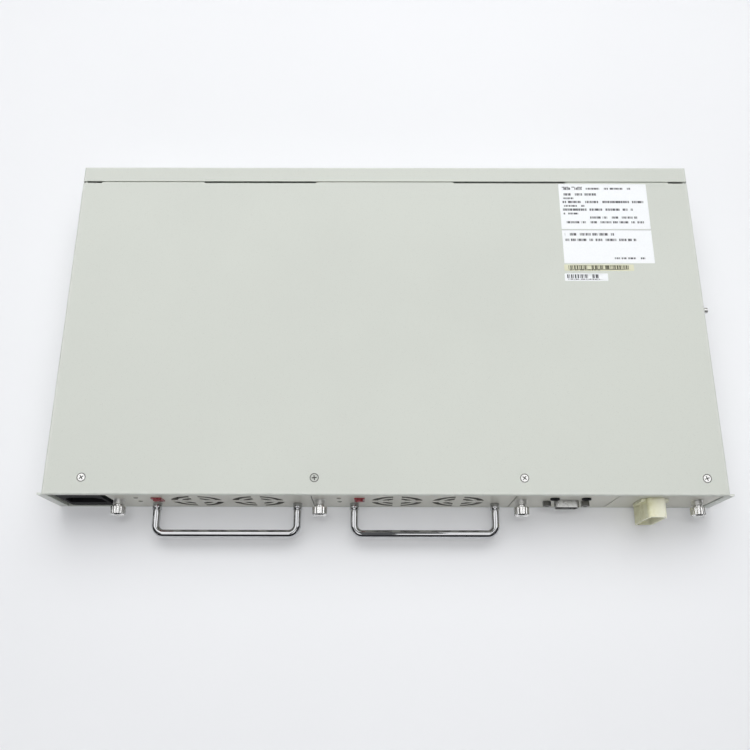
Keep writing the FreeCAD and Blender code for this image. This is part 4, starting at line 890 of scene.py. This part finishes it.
def thumbscrew_skin(x, z, y_front, y_back, sides=288):
    """r = profile - flute * (1 - |sin(flutes a / 2)|) - thread * |saw(y / pitch + a / 2 pi)|.

    The slot pushes the face back where it is close to the middle line.
    """
    y, r, flute, thread = (column[:, None] for column in thumbscrew_profile(y_front, y_back))
    angle = circle(sides)
    turn = y / THREAD_PITCH + angle / (2 * np.pi)
    saw = np.abs(2 * (turn - np.floor(turn)) - 1)
    groove = 1 - np.abs(np.sin(FLUTES * angle / 2))
    radius = r - flute * FLUTE_DEPTH * groove - thread * THREAD_DEPTH * saw
    up = radius * np.sin(angle)
    slot = y_front + SLOT_DEPTH * smooth_step(SLOT_HALF + SLOT_EDGE - np.abs(up), 0, 2 * SLOT_EDGE)
    y = np.where(y < y_front + FACE_DEPTH, np.maximum(y, slot), y)
    return skin(grid(x + radius * np.cos(angle), y, z + up), wrap_v=True)


for module in MODULES:
    screw = thumbscrew_skin(*place_of(f"{module}_thumbscrew"))
    piece = make_piece(f"{module}_fluted_screw", [screw], f"{module}_thumbscrew", "knob_metal", crease=38.0)
    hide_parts(f"{module}_thumbscrew")

# %% [markdown]
# ## Ferrules
# Each thumbscrew runs in a turned sleeve that is pressed into its panel, so the screw stays with the module
# when it is undone. The drawing fuses sleeve and panel, and the panel's paint would cover both. A thin
# plated shell, turned like the knob and a twentieth of a millimetre proud, gives the sleeve its own metal
# and its turned groove.

# %% Ferrules
FERRULE_RADIUS = 3.6 * MM
FERRULE_LENGTH = 3.2 * MM
FERRULE_BORE = 2.35 * MM
FERRULE_PROUD = 0.05 * MM


def ferrule_skin(x, z, y_panel, y_end):
    """Shell turned about Y: a flare on the panel, a straight run with a groove, a rounded rim, the bore."""
    r = FERRULE_RADIUS + FERRULE_PROUD
    end = y_end - FERRULE_PROUD
    groove = (y_panel + end) / 2
    profile = [(y_panel, FERRULE_BORE), (y_panel, r + 0.35 * MM), (y_panel - 0.25 * MM, r + 0.30 * MM),
               (y_panel - 0.45 * MM, r), (groove + 0.35 * MM, r), (groove + 0.2 * MM, r - 0.04 * MM),
               (groove - 0.2 * MM, r - 0.04 * MM), (groove - 0.35 * MM, r), (end + 0.3 * MM, r),
               (end + 0.09 * MM, r - 0.09 * MM), (end, r - 0.3 * MM), (end, FERRULE_BORE),
               (y_panel, FERRULE_BORE)]
    return turned_y(profile, x, z, 64)


for module in MODULES:
    x, z, _, _ = place_of(f"{module}_thumbscrew")
    y_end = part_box(f"{module}_front_panel")[0].y
    shell = ferrule_skin(x, z, y_end + FERRULE_LENGTH, y_end)
    make_piece(f"{module}_ferrule", [shell], module, "knob_metal", satin_nickel)

# %% [markdown]
# ## Fan rotors
# Behind each grille spins a moulded rotor: a cup with swept blades that lie flatter towards their tips. The
# drawing has flat paddles there, which is enough for clearances. Here one blade is a closed aerofoil loop
# carried outwards along the radius, turning and sweeping as it goes, and the others are the same blade
# turned about the axle.

# %% Fan blades
HUB_RADIUS = 8.6 * MM
ROOT_RADIUS = HUB_RADIUS - 0.6 * MM
TIP_RADIUS = 16.2 * MM
CHORD = 11.0 * MM
CHORD_GAIN = 3.5 * MM
PITCH = 48.0
PITCH_LOSS = 18.0
THICKNESS = 1.1 * MM
TAIL_THINNING = 0.35 * MM
CAMBER = 0.9 * MM
SWEEP = 0.35
FLATTENING = 0.82


def blade_skin(x, z, y_middle, turn, around=28, stations=14):
    """Aerofoil loop (s along the chord, t across) at each radius, wrapped on the cylinder of that radius."""
    loop = circle(around)[:, None]
    out = np.linspace(0, 1, stations)[None, :]
    closing = np.ones_like(out)
    closing[0, [0, -1]] = 0.0
    radius = ROOT_RADIUS + (TIP_RADIUS - ROOT_RADIUS) * out
    pitch = np.radians(PITCH - PITCH_LOSS * out)
    s = 0.5 * np.cos(loop) * (CHORD + CHORD_GAIN * out) * closing
    t = 0.5 * np.sin(loop) * (THICKNESS - TAIL_THINNING * np.cos(loop)) + CAMBER * (np.cos(loop) ** 2 - 0.5)
    t = t * closing
    along = s * np.cos(pitch) - t * np.sin(pitch)
    axial = s * np.sin(pitch) + t * np.cos(pitch)
    angle = turn + along / radius + SWEEP * out ** 2
    points = grid(x + radius * np.cos(angle), y_middle + FLATTENING * axial, z + radius * np.sin(angle))
    return skin(points, wrap_u=True)


print("blades from", ROOT_RADIUS / MM, "to", TIP_RADIUS / MM, "mm")

# %% Fan rotors
BLADES = 5
HUB_DEPTH = 12.9 * MM
HUB_EDGE = 1.4 * MM
HUB_SIDES = 56
AXLE_RADIUS = 1.0 * MM


def hub_profile(y_front, y_back):
    """Cup with a rounded front edge, a shallow ring round its middle, and the axle behind."""
    bow = np.linspace(np.pi / 2, 0, 7)
    rim_y = y_front + HUB_EDGE * (1 - np.sin(bow))
    rim = np.stack([rim_y, HUB_RADIUS - HUB_EDGE + HUB_EDGE * np.cos(bow)], 1)
    y_ring = y_front + 0.5 * MM
    y_cup = y_front + HUB_DEPTH
    face = [(y_ring, 0.0), (y_ring, 4.6 * MM), (y_front + 0.1 * MM, 5.0 * MM), (y_front, 5.2 * MM)]
    tail = [(y_cup, HUB_RADIUS), (y_cup, AXLE_RADIUS), (y_back - 0.2 * MM, AXLE_RADIUS), (y_back, 0.8 * MM),
            (y_back, 0.0)]
    return np.concatenate([face, rim, tail])


for fan in [f"{rectifier}_fan_{letter}" for rectifier in RECTIFIERS for letter in "ab"]:
    low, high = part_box(f"{fan}_rotor")
    x, _, z = joint_places[f"{fan}_spin"]
    rotor = [turned_y(hub_profile(low.y, high.y), x, z, HUB_SIDES)]
    rotor += [blade_skin(x, z, low.y + HUB_DEPTH / 2, turn) for turn in circle(BLADES)]
    piece = make_piece(f"{fan}_blades", rotor, f"{fan}_rotor", "black_plastic")
    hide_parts(f"{fan}_rotor")

# %% [markdown]
# ## Status lamps and rocker marks
# A lamp's visible end is a small dome. The rocker's two faces carry the usual marks for on and off, a bar
# and a ring, which stand less than a tenth of a millimetre proud in a white that has worn pink. They are
# laid out flat and then turned with the rocker's tilt about its pivot.

# %% Lamps
LAMP_RADIUS = 1.5 * MM
LAMP_DOME = 0.55 * MM


def lamp_skin(x, z, y_front, y_back):
    """Dome, straight body and flat end, turned about Y."""
    bow = np.linspace(0, np.pi / 2, 9)
    dome = np.stack([y_front + LAMP_DOME * (1 - np.cos(bow)), LAMP_RADIUS * np.sin(bow)], 1)
    return turned_y(np.concatenate([dome, [(y_back, LAMP_RADIUS), (y_back, 0.0)]]), x, z, 32)


for rectifier in RECTIFIERS:
    low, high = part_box(f"{rectifier}_status_lamps")
    heights = (low.z + LAMP_RADIUS, high.z - LAMP_RADIUS)
    lamps = [lamp_skin((low.x + high.x) / 2, z, low.y, high.y) for z in heights]
    piece = make_piece(f"{rectifier}_domed_lamps", lamps, rectifier, "lamp_lens")
    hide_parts(f"{rectifier}_status_lamps")

# %% Rocker marks
ROCKER_TILT = np.radians(8.0)
ROCKER_HALF = 3.8 * MM
DISH = 0.7 * MM
CREST = 1.5 * MM
PIVOT_BEHIND = 0.6 * MM
MARK_RISE = 0.08 * MM
BAR_MARK = (0.6 * MM, 2.0 * MM)
RING_MARK = (0.85 * MM, 0.45 * MM)


def ring_flat(radius, width, steps=40):
    """Low ring: a trapezium carried round a circle, as (across, along, height) points."""
    around = circle(steps)[:, None]
    across, height = np.array([(-0.5, -0.3), (-0.4, 1.0), (0.4, 1.0), (0.5, -0.3)]).T
    r = radius + width * across
    return grid(r * np.cos(around), r * np.sin(around), MARK_RISE * height)


def bar_flat(width, length, steps=24):
    """Low bar with rounded ends: rings of a stadium outline, from its rim to the middle of its top."""
    around = circle(steps)
    share = np.array([1.0, 0.9, 0.0])[:, None]
    height = np.array([-0.3, 1.0, 1.0])[:, None]
    straight = (length - width) / 2
    along = width / 2 * np.sin(around) + straight * np.sign(np.sin(around))
    return grid(share * width / 2 * np.cos(around), share * along, MARK_RISE * height)


def on_rocker(flat, pivot, side):
    """Lays a flat mark on the rocker's upper (side 1) or lower (side -1) face, and turns it with the tilt."""
    slope = np.array([-(CREST - DISH), side * ROCKER_HALF])
    slope = slope / np.linalg.norm(slope)
    outward = np.array([-abs(slope[1]), -side * abs(slope[0])])
    middle = np.array([-PIVOT_BEHIND - (DISH + CREST) / 2, side * ROCKER_HALF / 2])
    y = middle[0] + flat[..., 1] * slope[0] * side + flat[..., 2] * outward[0]
    z = middle[1] + flat[..., 1] * slope[1] * side + flat[..., 2] * outward[1]
    c = np.cos(ROCKER_TILT)
    s = np.sin(ROCKER_TILT)
    return grid(pivot[0] + flat[..., 0], pivot[1] + y * c - z * s, pivot[2] + y * s + z * c)


mark_paint = simple_finish("rocker_mark_paint", (3000.0, 2.0), (0.40, 0.30, 0.31), (0.58, 0.50, 0.50),
                           (0.4, 0.55))
for rectifier in RECTIFIERS:
    rocker = f"{rectifier}_switch_rocker"
    pivot = joint_places[f"{rocker}_tip"]
    marks = [skin(on_rocker(bar_flat(*BAR_MARK), pivot, 1), wrap_v=True),
             skin(on_rocker(ring_flat(*RING_MARK), pivot, -1), wrap_u=True, wrap_v=True)]
    make_piece(f"{rectifier}_rocker_marks", marks, rocker, "red_plastic", mark_paint)

# %% [markdown]
# ## Labels on the cover
# Three paper labels lie near the cover's right rear corner: a large white one in two halves and two narrow
# strips, one yellowed. A label is a rounded rectangle a tenth of a millimetre thick, its rim pressed down.
# What is printed on it is left generic: rows of grey bars with gaps, as print looks from far away.

# %% Label shape and paper
LABEL_THICK = 0.10 * MM
LABEL_CORNER = 0.5 * MM
ROW_SHIFT = 3.7
PRINT_SOFTNESS = 0.12 * MM


def rounded_outline(width, depth, corner, steps=96):
    """Outline of a rounded rectangle: each corner's quarter circle, taken in turn round the middle."""
    quarter = np.linspace(0, np.pi / 2, steps // 4)
    around = np.concatenate([quarter + k * np.pi / 2 for k in range(4)])
    sx = np.repeat([1, -1, -1, 1], steps // 4)
    sy = np.repeat([1, 1, -1, -1], steps // 4)
    x = sx * (width / 2 - corner) + corner * np.cos(around)
    y = sy * (depth / 2 - corner) + corner * np.sin(around)
    return x, y


def label_skin(x0, x1, y0, y1, z):
    """Rings of the outline shrunk towards the middle: up the pressed rim, then in over the flat top."""
    x, y = rounded_outline(x1 - x0, y1 - y0, LABEL_CORNER)
    inset = np.array([0.0, 0.0, 0.15, 0.5, 1.2]) * MM
    inner = [0.66, 0.33, 0.0]
    shrink_x = np.append(1 - inset / ((x1 - x0) / 2), inner)[:, None]
    shrink_y = np.append(1 - inset / ((y1 - y0) / 2), inner)[:, None]
    height = np.array([0.0, 0.35, 0.8, 0.97, 1.0, 1.0, 1.0, 1.0])[:, None] * LABEL_THICK
    return skin(grid((x0 + x1) / 2 + shrink_x * x, (y0 + y1) / 2 + shrink_y * y, z + height), wrap_v=True)


def printed_paper(name, paper, ink, rows, word, gap, speck, rule):
    """Paper with rows of printed bars. A row is (middle, height, start, end); word and gap set the breaks."""
    sheet = Finish(name, Specular_IOR_Level=0.4)
    fibre = sheet.noise(900.0, 3.0)
    marks = 0.0
    which = 0.0
    for number, (middle, height, start, end) in enumerate(rows):
        line = sheet.band(sheet.y, middle - height / 2, middle + height / 2, PRINT_SOFTNESS)
        reach = sheet.band(sheet.x, start, end, 0.1 * MM)
        marks = sheet.most(sheet.times(line, reach), marks)
        here = sheet.calc("COMPARE", sheet.y, middle, height / 2 + 0.2 * MM)
        which = sheet.calc("MULTIPLY_ADD", here, ROW_SHIFT * (number + 1), which)
    along = sheet.calc("MULTIPLY_ADD", sheet.x, word, which)
    words = sheet.add("ShaderNodeTexNoise", {"noise_dimensions": "1D"}, W=along, Scale=1.0, Detail=1.0)
    strokes = sheet.add("ShaderNodeTexNoise", {"noise_dimensions": "1D"}, W=along, Scale=5.3, Detail=0.0)
    inked = sheet.times(marks, sheet.fade(words.outputs["Fac"], gap, gap + 0.04))
    inked = sheet.times(inked, sheet.fade(strokes.outputs["Fac"], 0.40, 0.52, speck, 1.0))
    inked = sheet.most(inked, sheet.fade(sheet.y, rule - 0.05 * MM, rule, 0.0, 0.8))
    colour = sheet.blend(inked, sheet.tint(fibre, [0.97 * c for c in paper], paper), ink)
    return sheet.done(colour, sheet.gloss(fibre, 0.36, 0.46), sheet.relief(fibre, 0.05, 0.02))


def print_rows(x0, x1, tops):
    """Rows in metres from (middle, height, start share, end share) in millimetres and shares of the width."""
    wide = x1 - x0
    return [(y * MM, h * MM, (x0 + wide * a) * MM, (x0 + wide * b) * MM) for y, h, a, b in tops]


print("label shape ready")

# %% Labels
WHITE = (0.88, 0.90, 0.92)
YELLOWED = (0.70, 0.70, 0.52)
INK = (0.06, 0.06, 0.07)
BROWN_INK = (0.10, 0.10, 0.06)
WORDS = (240.0, 0.40, 0.30)
BARS = (210.0, 0.30, 0.0)
RULE_Y = 68.7 * MM
NO_RULE = 1.0
MAIN_ROWS = print_rows(125.0, 188.0, [
    (102.6, 2.6, 0.03, 0.27), (102.3, 1.5, 0.31, 0.82), (97.6, 1.9, 0.03, 0.42), (94.4, 1.4, 0.03, 0.16),
    (91.4, 1.8, 0.03, 0.95), (88.2, 1.4, 0.03, 0.28), (85.2, 1.8, 0.03, 0.82), (82.0, 1.4, 0.03, 0.20),
    (78.8, 1.7, 0.33, 0.86), (75.0, 1.7, 0.03, 0.93), (65.4, 2.0, 0.03, 0.58), (61.0, 1.9, 0.03, 0.82),
    (46.6, 1.4, 0.56, 0.90)])
YELLOW_ROWS = print_rows(124.6, 173.0, [(39.6, 2.9, 0.06, 0.94), (37.6, 0.6, 0.06, 0.52)])
STRIP_ROWS = print_rows(124.4, 154.4, [(32.7, 2.9, 0.04, 0.80), (30.5, 0.7, 0.08, 0.80)])
LABELS = (("white_label_upper", (125.0, 188.0, 69.5, 106.1), WHITE, INK, MAIN_ROWS, WORDS, NO_RULE),
          ("white_label_lower", (125.0, 188.0, 42.8, 69.0), WHITE, INK, MAIN_ROWS, WORDS, RULE_Y),
          ("yellow_strip", (124.6, 173.0, 36.9, 41.8), YELLOWED, BROWN_INK, YELLOW_ROWS, BARS, NO_RULE),
          ("white_strip", (124.4, 154.4, 29.2, 34.9), WHITE, INK, STRIP_ROWS, BARS, NO_RULE))
for name, edges, paper, ink, rows, pattern, rule in LABELS:
    sheet = printed_paper(f"{name}_paper", paper, ink, rows, *pattern, rule)
    surface = label_skin(*[edge * MM for edge in edges], COVER_HIGH.z)
    make_piece(name, [surface], "chassis", "case_paint", sheet, 60.0)

# %% [markdown]
# ## Parts on the open boards
# The two narrow modules have no lids, so a pulled-out one shows its board. The drawing leaves boards bare,
# as boards are drawn elsewhere. Three shapes make most of what stands on them: a block with chamfered
# edges, a turned can, and a lead bent twice. A wound ring is a doughnut whose thickness ripples once for
# each turn of wire.

# %% Block, can, lead and ring shapes
LEAD_PITCH = 1.27 * MM
LEAD_WIDTH = 0.42 * MM
LEAD_THICK = 0.18 * MM
COIL_RIPPLE = 0.07
COIL_SLANT = 0.02


def block_skin(x, y, z, width, depth, height, corner, chamfer):
    """Rings of a rounded rectangle: out over the foot, up the wall, in over the chamfer and over the top."""
    out_x, out_y = rounded_outline(width, depth, corner, 32)
    shrink_x = np.array([0.0, 1.0, 1.0, 1 - 2 * chamfer / width, 0.0])[:, None]
    shrink_y = np.array([0.0, 1.0, 1.0, 1 - 2 * chamfer / depth, 0.0])[:, None]
    rise = np.array([0.0, 0.0, height - chamfer, height, height])[:, None]
    return skin(grid(x + shrink_x * out_x, y + shrink_y * out_y, z + rise), wrap_v=True)


def can_skin(x, y, z, radius, height, sides=40):
    """Turned about Z: foot, crimped groove, straight sleeve, rounded shoulder and sunk lid."""
    foot = np.array([(-0.4, 0), (-0.1, 0.3), (-0.1, 1.2), (-0.5, 1.6), (-0.1, 2.0), (0, 2.3)]) * MM
    lid = np.array([(0, -0.7), (-0.2, -0.15), (-0.7, 0), (-0.85, -0.2)]) * MM
    r = np.concatenate([[0.0], radius + foot[:, 0], radius + lid[:, 0], [0.0]])[:, None]
    rise = np.concatenate([[0.0], foot[:, 1], height + lid[:, 1], [height + lid[-1, 1]]])[:, None]
    angle = circle(sides)
    return skin(grid(x + r * np.cos(angle), y + r * np.sin(angle), z + rise), wrap_v=True)


def lead_skin(x, y, z, side):
    """Strip carried along a bent line: out of the chip, down, and out again onto the board."""
    out = np.array([-0.3, 0.35, 0.55, 0.75, 0.95, 1.5])[:, None] * MM * side
    rise = np.array([1.1, 1.1, 0.95, 0.3, 0.1, 0.1])[:, None] * MM
    across = np.array([-0.5, 0.5, 0.5, -0.5]) * LEAD_WIDTH
    up = np.array([-0.5, -0.5, 0.5, 0.5]) * LEAD_THICK
    strip = grid(x + out, y + across, z + rise + up)
    ends = strip.mean(axis=1, keepdims=True).repeat(4, axis=1)
    return skin(np.concatenate([ends[:1], strip, ends[-1:]]), wrap_v=True)


def ring_coil_skin(x, y, z, radius, thick, turns):
    """Doughnut (R + r cos b, r sin b) with r = thick * (1 + ripple * cos(turns * a)), lying on the board."""
    a = circle(turns * 6)[:, None]
    b = circle(24)
    r = thick * (1 + COIL_RIPPLE * np.cos(turns * (a + COIL_SLANT * np.sin(b))))
    reach = radius + r * np.cos(b)
    height = (1 + COIL_RIPPLE) * thick + r * np.sin(b)
    return skin(grid(x + reach * np.cos(a), y + reach * np.sin(a), z + height), wrap_u=True, wrap_v=True)


def chip_leads(x, y, z, width, depth):
    """Leads along both long sides of a chip."""
    count = int((depth - 1 * MM) / LEAD_PITCH)
    places = y + (np.arange(count) - (count - 1) / 2) * LEAD_PITCH
    return [lead_skin(x + side * width / 2, place, z, side) for side in (-1, 1) for place in places]


print("board shapes ready")

# %% Parts on the boards
BOARD_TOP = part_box("monitor_board")[1].z
CHIP_GAP = 0.15 * MM
CHIP_SHAPE = (2.2 * MM, 0.3 * MM, 0.25 * MM)
BLOCK_EDGES = (0.6 * MM, 0.5 * MM)
CAN_HEIGHT = 13.0 * MM
CAN_TOP = BOARD_TOP + CAN_HEIGHT
COIL_PLACE = (173 * MM, -72 * MM)
COIL_SHAPE = (11.0 * MM, 4.6 * MM, 34)
MONITOR_CHIPS = ((111, -62, 9.0, 17.9), (132, -60, 7.6, 12.8), (132, -36, 7.6, 12.8), (109, -26, 7.6, 15.4),
                 (127, 0, 7.6, 10.3), (109, 24, 7.6, 10.3))
MONITOR_CANS = ((138, -93, 4.0), (138, -83, 4.0), (104, -88, 4.0), (138, 42, 5.0), (126, 44, 5.0))
MONITOR_BLOCKS = ((106, 50, 11.0, 22.0, 12.0), (139, 12, 7.0, 21.0, 8.0))
OUTPUT_CHIPS = ((163, 38, 7.6, 10.3), (183, 40, 7.6, 10.3))
OUTPUT_CANS = ((160, -34, 6.2), (160, -20, 6.2), (186, -34, 6.2), (186, -20, 6.2), (160, -6, 6.2))
OUTPUT_BLOCKS = ((184, 12, 12.0, 24.0, 14.0), (161, 14, 9.0, 18.0, 11.0))


def stand_on_board(module, chips, cans, blocks, can_paint):
    """Chips and blocks, leads, and cans of one module, each kind as one piece, from tables in millimetres."""
    chips, cans, blocks = (np.array(table) * MM for table in (chips, cans, blocks))
    bodies = [block_skin(x, y, BOARD_TOP + CHIP_GAP, w, d, *CHIP_SHAPE) for x, y, w, d in chips]
    bodies += [block_skin(x, y, BOARD_TOP, w, d, h, *BLOCK_EDGES) for x, y, w, d, h in blocks]
    make_piece(f"{module}_board_chips", bodies, module, "black_plastic")
    leads = [lead for x, y, w, d in chips for lead in chip_leads(x, y, BOARD_TOP, w, d)]
    make_piece(f"{module}_board_leads", leads, module, "shell_steel")
    tins = [can_skin(x, y, BOARD_TOP, r, CAN_HEIGHT) for x, y, r in cans]
    make_piece(f"{module}_board_cans", tins, module, "capacitor_sleeve", can_paint)


can_paint = can_sleeve("small_can_sleeve", (600.0, 600.0, 70.0), (0.012, 0.020, 0.052),
                       (0.022, 0.034, 0.082), (0.28, 0.42), (CAN_TOP - 0.4 * MM, CAN_TOP - 0.25 * MM))
copper = simple_finish("enamelled_copper", (240.0, 3.0), (0.42, 0.15, 0.05), (0.60, 0.25, 0.09),
                       (0.24, 0.36), (240.0, 3.0, 0.05, 0.03), Metallic=0.8)
stand_on_board("monitor", MONITOR_CHIPS, MONITOR_CANS, MONITOR_BLOCKS, can_paint)
stand_on_board("output", OUTPUT_CHIPS, OUTPUT_CANS, OUTPUT_BLOCKS, can_paint)
coil = ring_coil_skin(*COIL_PLACE, BOARD_TOP, *COIL_SHAPE)
make_piece("output_ring_coil", [coil], "output", "contact_metal", copper)
